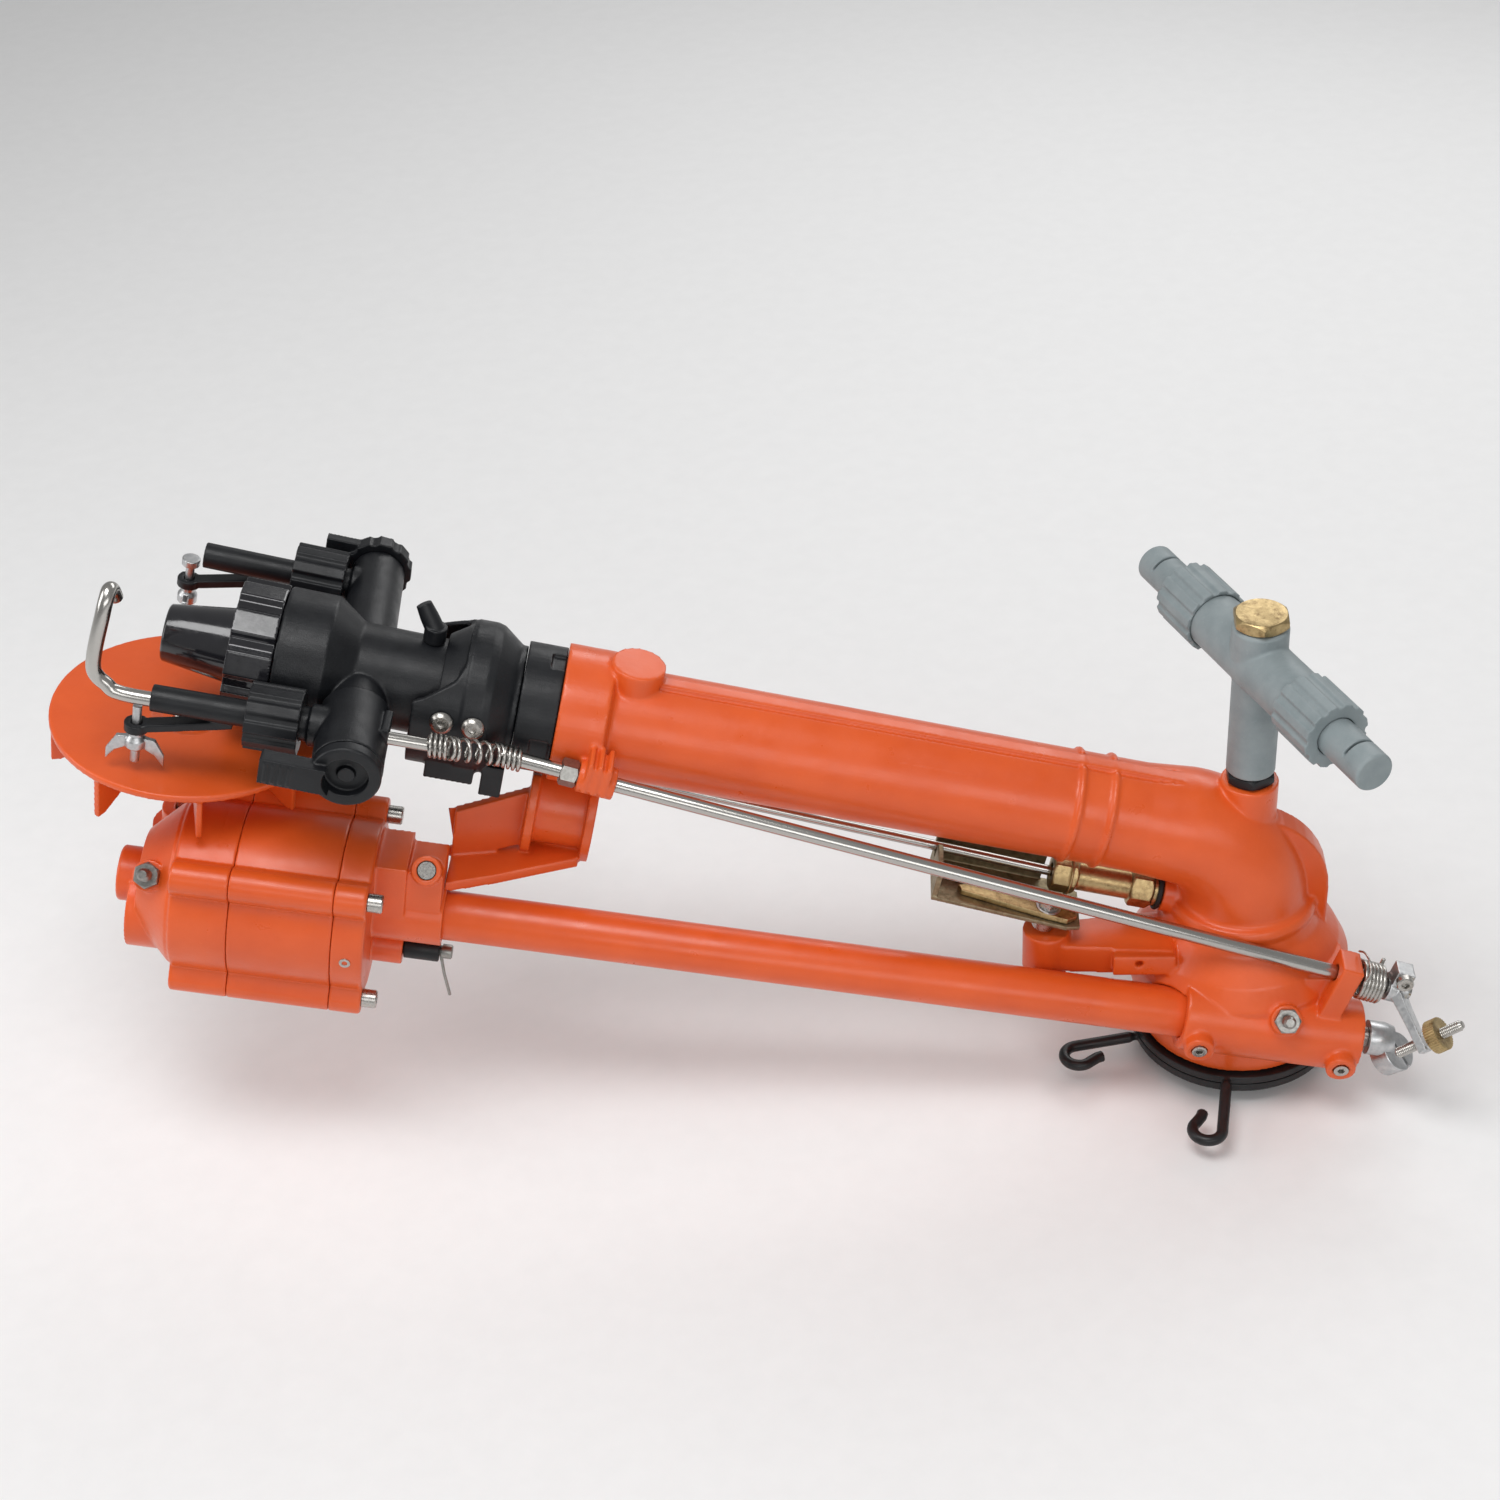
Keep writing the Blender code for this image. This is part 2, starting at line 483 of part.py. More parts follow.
for _n, _s in (("near", 1), ("far", -1)):
    _f = frame((0, 0, TEE_Z), (_s * math.sin(_ty), -_s * math.cos(_ty), 0), (0, 0, 1))
    nut = ribbed(_f, 42, 74, 18.3, 1.4, 12, 10.9)
    nut.cut(cyl(_f, 41, 66.5, 15.8, 22))
    emit("union_nut_" + _n, nut, "grey")
    jet = turn(_f, [(62.3, 15), (66.2, 15), (66.2, 10.5), (107, 10.5), (108, 9.6)], 18)
    jet.cut(cyl(_f, 61, 104, 7, 12))
    jet.cut(box(_f, (93.2, 94.8), (-12, 12), (4.5, 12)))
    emit("tee_jet_" + _n, jet, "grey")
plug = hexa(UP, 270.6, 277.4, 27)
plug.add(cyl(UP, 258, 272, 10, 14))
emit("tee_plug", plug, "brass")

# ------------------------------------------------------------------ nozzle head
bay = tube(BAR, 378.3, 399, 27.2, 34, 24)
bay.cut(box(BAR, (380, 390), (-40, -32.4), (-9, 3)))
emit("bayonet_ring", bay, "black", P(BAR, 389, 0, 0))
hood = turn(BAR, [(399.3, 27.2), (399.3, 31), (402, 31), (413, 39.4), (417, 40.5), (427, 40.5), (428.5, 38), (441, 30), (441, 28.2)], 26, closed=True)
_sh = turn(BAR, [(421.3, 36.9), (421.3, 39.9), (453, 39.9), (453, 37.3)], 26, closed=True, phase=0.05)
_sh.cut(prism(BAR, [(429.1, 60), (429.1, 33), (433, 27), (448, 17.5), (454, 15), (470, 14), (470, 60)], -60, 60))
hood.add(_sh)
hood.add(box(BAR, (416, 442), (-33, -24), (-34, -18)), box(BAR, (400.5, 412), (-31, -18), (-41, -22)))
HSC = [sub(BAR, (u, 0, 0), (0, -1, 0.2), (1, 0, 0)) for u in (420, 436.5)]
for _f in HSC:
    hood.cut(cyl(_f, 36.8, 42, 3.1, 10))
emit("hood", hood, "black")
for _k, _f in enumerate(HSC):
    s = turn(_f, [(37.1, 2.8), (40.9, 2.8), (40.9, 6.2), (42, 5.8), (43.2, 4.2)], 12)
    s.cut(hexa(_f, 41.4, 45, 4.2))
    emit("hood_screw_%d" % (_k + 1), s, "steel")
kn = cyl(sub(BAR, (448.5, 4, 27.9), (0, 0, 1), (1, 0, 0)), 0, 9, 6, 14)
kn.add(sweep([P(BAR, 448.5, 4, 34), P(BAR, 453, 7, 40), P(BAR, 457, 9, 46)], [5.2, 5, 4.2], 10))
emit("hood_knob", kn, "black", P(BAR, 448.5, 4, 27.9))

def side_line(s):
    """Frame along the near (-1) or far (+1) side outlet."""
    return sub(HEAD, (0, SIDE_Y[s], SIDE_W[s]), (1, 0, SIDE_DIP[s]), (0, 0, 1))

head = turn(HEAD, [(-74, 26.5), (2, 26.5), (17, 37), (42, 37), (43, 36.2)], 28)
XT = sub(HEAD, (-1, 0, 0), (CROSS_SKEW, 1, 0), (0, 0, 1))           # local X along the cross tube (world +Y)
head.add(cyl(XT, -80, 94, 14.8, 22), cyl(XT, -84, -38, 18.3, 24))
for _s in (-1, 1):
    _f = side_line(_s)
    head.add(cyl(_f, 0, 32, 9, 16), cyl(_f, 8, 17.5, 11, 16))
_g = side_line(-1)
head.add(cyl(_g, -23, 0, 7.5, 14), slab(sub(HEAD, (-21, SIDE_Y[-1], 0), (0, 0, 1), (-1, 0, 0)), [(-17, -9), (14, -9), (14, 9), (-17, 9)], -2, 2))
head.cut(turn(HEAD, [(-76, 22), (20, 20), (44, 15)], 20))
head.cut(cyl(_g, -30, 34, 3.9, 12))
head.cut(cyl(XT, -85, -74, 11, 16), cyl(XT, 84, 95, 11, 16))
emit("head_body", head, "black")

rn = ribbed(HEAD, 43.4, 67, 37.2, 1.6, 10, 20.8, 0.6)
rn.cut(cyl(HEAD, 42, 50.4, 27, 24))
emit("ring_nut", rn, "gloss")
cone = turn(HEAD, [(43.7, 10), (43.7, 26.5), (50, 26.5), (50, 20.4), (68, 20), (102, 15.3), (103, 14.3), (103, 9)], 26, closed=True)
emit("nozzle_cone", cone, "gloss")

WIRE_PTS = []
for _s, _n in ((-1, "near"), (1, "far")):
    _f = side_line(_s)
    nut = ribbed(_f, 21.6 if _s < 0 else 20.8, 49, 17.6, 1.5, 10, 7.4)
    nut.cut(turn(_f, [(17, 11.4), (19, 11.4), (19, 9.4), (40, 9.4)], 14))
    emit("side_nut_" + _n, nut, "black")
    st = cyl(_f, 32.6, 98, 7, 16)
    st.add(cyl(_f, 33, 39.5, 9, 16))
    st.add(loft([[P(_f, 56, v, w) for v, w in ((-4, -9), (4, -9), (4, -4), (-4, -4))],
                 [P(_f, 104, v, w) for v, w in ((-4, -21.5), (4, -21.5), (4, -17), (-4, -17))]]))
    _e = sub(_f, (105, 0, -21.6), (0, 0, 1), (1, 0, 0))
    st.add(cyl(_e, 0, 4.8, 6.4, 14))
    st.cut(cyl(_e, -2, 7, 2.9, 10))
    if _s < 0:
        st.cut(cyl(_f, 60, 99, 4.2, 12), cyl(_f, 31, 56, 3.8, 12))
    emit("side_tube_" + _n, st, "black", P(_f, 33, 0, 0))
    wb = turn(sub(_f, (105, 0, -42), (0, 0, 1), (1, 0, 0)), [(0, 2.4), (9.8, 2.4), (10, 5.4), (14.5, 5.4), (17, 3.6), (20, 3.6), (20.1, 2.4), (36.2, 2.4)], 12)
    for _t in (1, -1):
        _w = sub(_f, (105, 0, -29), (_t, 0, 0) if _s < 0 else (0, _t, 0), (0, 0, 1))
        wb.add(loft([[P(_w, 3, -1.6, -3), P(_w, 3, 1.6, -3), P(_w, 3, 1.6, 3), P(_w, 3, -1.6, 3)],
                     [P(_w, 10, -1.3, -7), P(_w, 10, 1.3, -7), P(_w, 10, 1.3, 2), P(_w, 10, -1.3, 2)],
                     [P(_w, 15, -1.0, -14), P(_w, 15, 1.0, -14), P(_w, 15, 1.0, -7), P(_w, 15, -1.0, -7)]]))
    if _s > 0:
        wb.add(turn(sub(_f, (105, 0, -8), (0, 0, 1), (1, 0, 0)), [(0, 5), (4, 5)], 12))
    emit("wing_bolt_" + _n, wb, "zinc", P(_f, 33, 0, 0))

NT = side_line(-1)
_pts = [P(NT, 61, 0, 0), P(NT, 117, 0, 0)]
_pts += [Vector(q) for q in ((-586.3, -55, 284.2), (-589.6, -55, 288.6), (-590.8, -55, 294.5), (-580.2, -52.6, 326),
                             (-578.2, -50.3, 331.6), (-577.2, -46.4, 334.4), (-577.0, -42.0, 332.6), (-577.3, -38.4, 325.5))]
emit("jet_wire", sweep(_pts, 3.9, 10, (0, 1, 0)), "steel", P(NT, 33, 0, 0))

XN = sub(HEAD, (-1 - 84.3 * CROSS_SKEW, -84.3, 0), (-CROSS_SKEW, -1, 0), (0, 0, 1))
lev = turn(XN, [(-9, 10.6), (0, 10.6), (0, 18), (6, 18), (7, 17)], 22)
lev.add(box(HEAD, (-9, 36), (-97.5, -88), (-9, 6)))
lev.cut(cyl(XN, 2, 18, 9.5, 14))
emit("valve_lever_near", lev, "black", P(XN, 0, 0, 0))
XF = sub(HEAD, (-1 + 94.3 * CROSS_SKEW, 94.3, 0), (CROSS_SKEW, 1, 0), (0, 0, 1))
cap = ribbed(XF, 1, 10, 18.5, 1.2, 9, 4, 0.55)
cap.add(cyl(XF, -9, 8.5, 10.6, 14), cyl(XF, 7, 11.5, 14.5, 14))
cap.add(box(HEAD, (18, 36), (97, 103), (6, 14)))
emit("valve_cap_far", cap, "black", P(XF, 0, 0, 0))

# ------------------------------------------------------------------ rocker drive
sh = cyl(NT, -52, 54, 3.4, 10)
emit("short_shaft", sh, "steel", P(NT, 33, 0, 0))
_r0, _r1 = P(RODF, _rl + 42, 0, 0), P(RODF, _rl + 54, 0, 0)
_s1, _s0 = P(NT, -54, 0, 0), P(NT, -43, 0, 0)
_mid = (_r1 + _s1) / 2
_line = [_r0, (_r0 + _r1) / 2, _r1, _mid, _s1, _s0]
_ra, _rb = [], []
for _i, _p in enumerate(_line):
    _t = ((_line[min(_i + 1, 5)] - _line[max(_i - 1, 0)])).normalized()
    _a = (Vector((0, 1, 0)) - _t * _t.y).normalized()
    _b = _t.cross(_a)
    _cs = [(math.cos(2 * math.pi * k / 10), math.sin(2 * math.pi * k / 10)) for k in range(10)]
    _ra.append([_p + 6.4 * (c * _a + s * _b) for c, s in _cs])
    _rb.append([_p + 4.7 * (c * _a + s * _b) for c, s in _cs])
emit("coupling_spring", loft(_ra + list(reversed(_rb)), closed=True), "steel")
emit("muzzle_nut", hexa(RODF, _rl + 12.3, _rl + 21.5, 12.8, 4.7), "zinc")
rod = cyl(RODF, -37.5, _rl + 52, ROD_R, 12)
emit("main_rod", rod, "steel", P(RODF, 0, 0, 0))
emit("torsion_spring", tube(RODF, -21.5, -6.5, 8.6, 11.2, 18), "steel")
LEV = sub(RODF, (-29, 0, 0), (1, 0, 0), (0, 0, 1))
cl = cyl(LEV, -5.5, 5.5, 7.8, 18)
cl.add(box(LEV, (-5, 5), (-5.5, 5.5), (4, 14.5)))
_hub = P(LEV, 0, 0, 0)
ADJ_D = Vector((0.72, -0.2, 0.665)).normalized()
_tip = Vector((79.6, -67.6, 34.0))
_end = _tip + ADJ_D * 16                                   # where the adjusting screw crosses the lever
_d = (_end - _hub).normalized()
_s = _d.cross(Vector((0, 1, 0))).normalized()
_b = _s.cross(_d).normalized()
def _q(p, a, b, c):
    return [p - _s * a - _b * b, p - _s * a + _b * b, p + _s * c + _b * b, p + _s * c - _b * b]
cl.add(loft([_q(_hub + _d * 4, 3.0, 6.5, 3.5), _q(_hub + _d * 13, 2.6, 6, 2.6), _q(_hub + _d * 24, 2.4, 5.2, 2.4), _q(_end + _d * 5.5, 2.4, 5.2, 2.4)]))
cl.cut(cyl(LEV, -9, 9, ROD_R + GAP, 12))
ADJ = frame(_end, ADJ_D, (0, 0, 1))          # adjusting screw through the lever end
cl.cut(cyl(ADJ, -12, 12, 3.4, 12))
cl.cut(cyl(sub(LEV, (0, 0, 10.4), (0, 1, 0), (0, 0, 1)), -8, 8, 2.6, 10))
emit("clamp_lever", cl, "zinc", P(RODF, 0, 0, 0))
ks = turn(ADJ, [(-16, 1.4), (-15, 3), (7.5, 3), (7.5, 9.2), (14, 9.2), (14.5, 8.6), (14.5, 3), (26, 3), (27, 2.2)], 18)
emit("knurled_screw", ks, "brass", P(RODF, 0, 0, 0))

# ------------------------------------------------------------------ reversing trip
TRU, TRV = 76.5, -18.5                                   # pivot station on the fitting line
TRP = sub(FIT, (TRU, TRV, -14.5), (0, 0, 1), (1, 0, 0))     # local X up the pivot
fit = hexa(FIT, 20.5, 33, 20)
fit.add(cyl(FIT, 7.5, 16, 7.2, 12), cyl(FIT, 15.6, 22, 9.2, 16), cyl(FIT, 32, 66, 8, 16), hexa(FIT, 63, 77, 19))
fit.cut(cyl(FIT, 6, 78, 4.4, 10))
emit("trip_fitting", fit, "brass")
RD2 = frame(P(FIT, 78, 0, 0), (-1, 0.119, 0.206), (0, 0, 1))
emit("trip_rod", cyl(RD2, -6, 350, 2.9, 10), "steel", P(RD2, 0, 0, 0))
tray = slab(FIT, [(58, -26), (66, -28.5), (141, -22.5), (141, 14), (70, 11), (58, 4)], -17, -14.5)
tray.add(box(FIT, (138, 141), (-22, 14), (-16, 2.5)))
tray.add(slab(FIT, [(79, 9.4), (140, 11.8), (140, 14), (79, 11.4)], -16, 5))
tray.cut(box(FIT, (136, 143), (2.6, 11), (-7, 6)))
tray.cut(cyl(TRP, -6, 3, 4.1, 11))
emit("trip_tray", tray, "bronze")
tl = slab(FIT, [(60.5, -22), (66, -26.8), (77, -25.5), (125, -17), (127, -13), (121, -10), (78, -11), (62, -12)], -14.1, -10.6)
tl.cut(cyl(TRP, -2, 12, 4.2, 12))
emit("trip_lever", tl, "brass", P(TRP, 0, 0, 0))
_pz = P(TRP, 0, 0, 0)
pb = hexa(TRP, 4.4, 9, 10)
pb.add(cyl(TRP, -3.5, 5, 3.8, 10), cyl(TRP, -9.2, -2.8, 6, 10))
emit("trip_bolt", pb, "steel")
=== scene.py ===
# Rotary sprinkler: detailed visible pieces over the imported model. Geometry code is in millimetres and is stored in metres.
import json
import math
import bpy
import bmesh
from mathutils import Matrix, Vector


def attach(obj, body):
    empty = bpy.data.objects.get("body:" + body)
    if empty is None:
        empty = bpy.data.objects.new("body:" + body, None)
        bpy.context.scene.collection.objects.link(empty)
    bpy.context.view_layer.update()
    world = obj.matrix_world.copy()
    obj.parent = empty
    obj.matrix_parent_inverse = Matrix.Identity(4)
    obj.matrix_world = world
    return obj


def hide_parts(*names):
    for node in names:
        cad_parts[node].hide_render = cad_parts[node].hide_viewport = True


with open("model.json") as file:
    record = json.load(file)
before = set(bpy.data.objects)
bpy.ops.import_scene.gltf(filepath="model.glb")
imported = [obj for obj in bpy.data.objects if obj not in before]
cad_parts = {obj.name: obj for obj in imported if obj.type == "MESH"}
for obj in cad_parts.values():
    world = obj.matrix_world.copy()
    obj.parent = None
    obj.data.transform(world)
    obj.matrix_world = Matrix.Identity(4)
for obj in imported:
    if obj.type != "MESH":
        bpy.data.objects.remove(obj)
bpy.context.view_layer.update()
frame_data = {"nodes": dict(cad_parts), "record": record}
BODY_OF = {n: b for b, ns in frame_data["record"]["behaviour"]["bodies"].items() for n in ns}
SLOT_OF = {s["node"]: s["material_slot"] for s in frame_data["record"]["subparts"]}
scn = bpy.context.scene

# ------------------------------------------------------------------ camera, floor, light
_a, _e, _r = [math.radians(v) for v in (4.5, 36.2, -3.6)]
_back = Vector((math.sin(_a) * math.cos(_e), -math.cos(_a) * math.cos(_e), math.sin(_e)))
_right = Vector((math.cos(_a), math.sin(_a), 0))
_upv = _back.cross(_right)
_R = math.cos(_r) * _right + math.sin(_r) * _upv
_U = -math.sin(_r) * _right + math.cos(_r) * _upv
_M = Matrix.Identity(4)
for _i in range(3):
    _M[_i][0], _M[_i][1], _M[_i][2] = _R[_i], _U[_i], _back[_i]
_M[0][3], _M[1][3], _M[2][3] = -0.1747, -1.1618, 1.0485
_cd = bpy.data.cameras.new("cam")
_cd.lens = 64.8
_cd.sensor_width = 36
_cd.clip_start = 0.01
_cam = bpy.data.objects.new("cam", _cd)
_cam.matrix_world = _M
scn.collection.objects.link(_cam)
scn.camera = _cam

def area(name, loc, target, size, power, color=(1, 1, 1)):
    l = bpy.data.lights.new(name, "AREA")
    l.shape = "RECTANGLE"
    l.size, l.size_y = size
    l.energy = power
    l.color = color
    o = bpy.data.objects.new(name, l)
    o.location = loc
    o.rotation_euler = (Vector(target) - Vector(loc)).to_track_quat("-Z", "Y").to_euler()
    scn.collection.objects.link(o)

area("key", (-0.5, -0.5, 1.9), (-0.25, 0, 0.1), (1.2, 0.7), 17)
area("front", (0.3, -1.9, 1.0), (-0.25, 0, 0.15), (2.0, 0.7), 11)
area("left", (-1.8, -0.3, 0.9), (-0.3, 0, 0.15), (0.7, 1.1), 7)
area("rim", (0.4, 1.5, 1.1), (-0.25, 0, 0.15), (1.6, 0.6), 9)
_w = bpy.data.worlds.new("studio")
_w.use_nodes = True
_w.node_tree.nodes["Background"].inputs[0].default_value = (1.0, 1.0, 1.0, 1.0)
_w.node_tree.nodes["Background"].inputs[1].default_value = 0.34
scn.world = _w
scn.view_settings.view_transform = "Standard"
scn.view_settings.look = "None"

# ------------------------------------------------------------------ materials
class Nodes:
    """Small helper for one procedural material in object space (metres)."""
    def __init__(self, name):
        self.m = bpy.data.materials.new(name)
        self.m.use_nodes = True
        self.t = self.m.node_tree
        self.b = self.t.nodes["Principled BSDF"]
        self.co = self.t.nodes.new("ShaderNodeTexCoord").outputs["Object"]

    def noise(self, scale, detail=3.0, rough=0.5, stretch=None):
        n = self.t.nodes.new("ShaderNodeTexNoise")
        n.inputs["Scale"].default_value = scale
        n.inputs["Detail"].default_value = detail
        n.inputs["Roughness"].default_value = rough
        src = self.co
        if stretch:
            mp = self.t.nodes.new("ShaderNodeMapping")
            mp.inputs["Rotation"].default_value = stretch[1]
            mp.inputs["Scale"].default_value = stretch[0]
            self.t.links.new(src, mp.inputs["Vector"])
            src = mp.outputs["Vector"]
        self.t.links.new(src, n.inputs["Vector"])
        return n.outputs["Fac"]

    def ramp(self, fac, stops):
        r = self.t.nodes.new("ShaderNodeValToRGB")
        e = r.color_ramp.elements
        while len(e) < len(stops):
            e.new(0.5)
        for el, (p, c) in zip(e, stops):
            el.position = p
            el.color = (c[0], c[1], c[2], 1.0) if hasattr(c, "__len__") else (c, c, c, 1.0)
        self.t.links.new(fac, r.inputs["Fac"])
        return r.outputs["Color"]

    def mix(self, fac, a, b, mode="MIX"):
        x = self.t.nodes.new("ShaderNodeMix")
        x.data_type = "RGBA"
        x.blend_type = mode
        for s, v in ((0, fac), (6, a), (7, b)):
            if isinstance(v, (int, float)):
                x.inputs[s].default_value = v
            elif isinstance(v, tuple):
                x.inputs[s].default_value = (v[0], v[1], v[2], 1.0)
            else:
                self.t.links.new(v, x.inputs[s])
        return x.outputs[2]

    def color(self, c):
        self.t.links.new(c, self.b.inputs["Base Color"])

    def rough(self, c):
        self.t.links.new(c, self.b.inputs["Roughness"])

    def bump(self, *layers):
        """Layers are (height, strength, distance)."""
        last = None
        for h, s, d in layers:
            n = self.t.nodes.new("ShaderNodeBump")
            n.inputs["Strength"].default_value = s
            n.inputs["Distance"].default_value = d
            self.t.links.new(h, n.inputs["Height"])
            if last:
                self.t.links.new(last, n.inputs["Normal"])
            last = n.outputs["Normal"]
        self.t.links.new(last, self.b.inputs["Normal"])

def paint():
    k = Nodes("v_orange_paint")
    big = k.noise(28, 4, 0.55)
    col = k.ramp(big, [(0.3, (0.68, 0.088, 0.012)), (0.52, (0.72, 0.098, 0.014)), (0.72, (0.76, 0.108, 0.017))])
    specks = k.ramp(k.noise(900, 2, 0.6), [(0.70, 0.0), (0.80, 1.0)])
    col = k.mix(k.ramp(k.noise(140, 5, 0.7), [(0.62, 0.0), (0.80, 0.30)]), col, (0.58, 0.070, 0.018))
    k.color(k.mix(k.mix(0.35, (0, 0, 0), specks), col, (0.93, 0.24, 0.09)))
    k.rough(k.ramp(k.noise(60, 4, 0.6), [(0.3, 0.27), (0.7, 0.44)]))
    k.b.inputs["Coat Weight"].default_value = 0.08
    k.b.inputs["Coat Roughness"].default_value = 0.18
    k.b.inputs["Subsurface Weight"].default_value = 0.0
    k.bump((k.noise(1100, 3, 0.6), 0.10, 0.0003), (k.noise(240, 4, 0.6), 0.16, 0.0006), (k.noise(45, 2, 0.5), 0.10, 0.002))
    return k.m

def plastic(name, dark, light, r0, r1, grain=0.35, scale=1500):
    k = Nodes(name)
    col = k.ramp(k.noise(60, 5, 0.6), [(0.32, dark), (0.68, light)])
    dust = k.ramp(k.noise(420, 6, 0.7), [(0.60, 0.0), (0.78, 0.16)])
    k.color(k.mix(dust, col, tuple(min(1.0, v * 2.0 + 0.008) for v in light)))
    k.rough(k.ramp(k.noise(110, 4, 0.6), [(0.3, r0), (0.7, r1)]))
    if max(light) < 0.05:
        k.b.inputs["Specular IOR Level"].default_value = 0.36
    k.bump((k.noise(scale, 3, 0.6), grain, 0.0003), (k.noise(90, 3, 0.5), 0.06, 0.001))
    return k.m

def gloss():
    k = Nodes("v_gloss_black")
    k.color(k.ramp(k.noise(50, 3, 0.5), [(0.3, (0.006, 0.006, 0.008)), (0.7, (0.013, 0.013, 0.016))]))
    k.rough(k.ramp(k.noise(300, 5, 0.7), [(0.35, 0.10), (0.75, 0.26)]))
    k.b.inputs["Coat Weight"].default_value = 0.5
    k.b.inputs["Coat Roughness"].default_value = 0.08
    k.bump((k.noise(70, 3, 0.5), 0.08, 0.001), (k.noise(1300, 2, 0.5), 0.03, 0.0002))
    return k.m

def metal(name, c0, c1, r0, r1, stretch=None, spots=None, bump=0.12, scale=260):
    k = Nodes(name)
    k.b.inputs["Metallic"].default_value = 1.0
    col = k.ramp(k.noise(scale, 5, 0.65, stretch), [(0.3, c0), (0.7, c1)])
    if spots:
        col = k.mix(k.ramp(k.noise(170, 6, 0.75), [(0.50, 0.0), (0.66, 0.85)]), col, spots)
    k.color(col)
    k.rough(k.ramp(k.noise(scale * 1.4, 4, 0.6, stretch), [(0.3, r0), (0.7, r1)]))
    k.bump((k.noise(scale * 2.5, 3, 0.6, stretch), bump, 0.0003), (k.noise(120, 4, 0.6), bump * 0.8, 0.0006))
    return k.m

_rodrot = ((0.05, 1, 1), (0.0, math.radians(19.3), 0.0))
MATS = {
    "orange": paint(),
    "black": plastic("v_black_plastic", (0.004, 0.0045, 0.006), (0.009, 0.010, 0.012), 0.32, 0.48),
    "gloss": gloss(),
    "grey": plastic("v_grey_plastic", (0.205, 0.245, 0.255), (0.265, 0.305, 0.315), 0.42, 0.6, 0.22, 900),
    "steel": metal("v_stainless", (0.40, 0.385, 0.36), (0.53, 0.51, 0.48), 0.22, 0.36, None, None, 0.03, 700),
    "rod": metal("v_stainless_rod", (0.46, 0.445, 0.42), (0.51, 0.495, 0.47), 0.20, 0.25, None, None, 0.006, 1500),
    "dull": metal("v_dull_steel", (0.24, 0.235, 0.22), (0.36, 0.35, 0.33), 0.28, 0.44, None, None, 0.05, 600),
    "zinc": metal("v_zinc_plated", (0.45, 0.46, 0.47), (0.62, 0.62, 0.62), 0.28, 0.46, None, None, 0.12, 300),
    "brass": metal("v_brass", (0.40, 0.29, 0.14), (0.54, 0.41, 0.21), 0.30, 0.48, None, (0.20, 0.13, 0.06), 0.18, 300),
    "bronze": metal("v_aged_bronze", (0.26, 0.21, 0.13), (0.38, 0.32, 0.21), 0.46, 0.64, None, (0.17, 0.135, 0.08), 0.4, 200),
    "iron": plastic("v_black_iron", (0.008, 0.008, 0.009), (0.018, 0.018, 0.019), 0.30, 0.48, 0.3, 700),
    "rubber": plastic("v_rubber", (0.010, 0.010, 0.010), (0.018, 0.018, 0.018), 0.55, 0.7, 0.2, 900),
}
_fl = plastic("v_floor", (0.86, 0.86, 0.86), (0.88, 0.88, 0.88), 0.6, 0.7, 0.02, 60)
_fm = bpy.data.meshes.new("floor")
_fm.from_pydata([(-9, -9, -0.01425), (9, -9, -0.01425), (9, 9, -0.01425), (-9, 9, -0.01425)], [], [(0, 1, 2, 3)])
_fo = bpy.data.objects.new("floor", _fm)
_fm.materials.append(_fl)
scn.collection.objects.link(_fo)

# ------------------------------------------------------------------ driving dimensions
GAP = 0.3                     # clearance between touching pieces
BARREL_TILT = 14.0            # barrel above horizontal, degrees
BARREL_Z = 132.0              # height at which the barrel axis meets the swivel axis
BARREL_R, BARREL_BORE = 30.0, 25.5
BARREL_END = 378.0
COLLAR_R = 36.7
HEAD_TILT = 15.5
CROSS_SKEW = 0.065             # cross tube: far end ahead of square
HEAD_C = (-469.3, 0.0, 251.0)  # centre of the cross tube
DRIVE_TILT = 10.8
DRIVE_O = (0.0, -46.0, 39.5)   # worm centre on the drive line
TUBE_R, TUBE_BORE = 13.5, 10.0
HOUSING_R = 20.0
GEAR_R = 47.0                  # gearbox body radius
DISC_R = 73.3                  # turbine disc radius
DISC_U = 590.0                 # turbine shaft station on the drive line
RING_R = 56.5                  # stop ring radius
INLET_BORE = 25.0
ROD_R = 4.0
ROD_A = (-341.8, -44.0, 209.6)
ROD_B = (52.0, -46.0, 71.9)
SIDE_Y = {-1: -55.4, 1: 76.0}  # side outlets: near, far
SIDE_W = {-1: 2.0, 1: 1.0}
SIDE_DIP = {-1: -0.038, 1: 0.0}
TEE_Z = 247.0
TEE_YAW = 25.0                 # tee arm direction (sin, -cos)
WHEEL_TEETH = 24

# ------------------------------------------------------------------ frames
def unit(v):
    return Vector(v).normalized()

def frame(origin, u, w):
    """Frame whose local X is u, local Z is w (made square to u)."""
    u = unit(u)
    w = Vector(w)
    w = (w - u * w.dot(u)).normalized()
    v = w.cross(u)
    m = Matrix.Identity(4)
    for i in range(3):
        m[i][0], m[i][1], m[i][2], m[i][3] = u[i], v[i], w[i], origin[i]
    return m

def tilted(origin, deg):
    """Frame along (-cos, 0, sin), local Y = world Y, local Z up and across."""
    a = math.radians(deg)
    m = Matrix.Identity(4)
    cols = ((-math.cos(a), 0, math.sin(a)), (0, 1, 0), (math.sin(a), 0, math.cos(a)))
    for i in range(3):
        for j in range(3):
            m[i][j] = cols[j][i]
        m[i][3] = origin[i]
    return m

WORLD = Matrix.Identity(4)
BAR = tilted((0, 0, BARREL_Z), BARREL_TILT)
HEAD = tilted(HEAD_C, HEAD_TILT)
DRV = tilted(DRIVE_O, DRIVE_TILT)

def P(F, u, v, w):
    return F @ Vector((u, v, w))

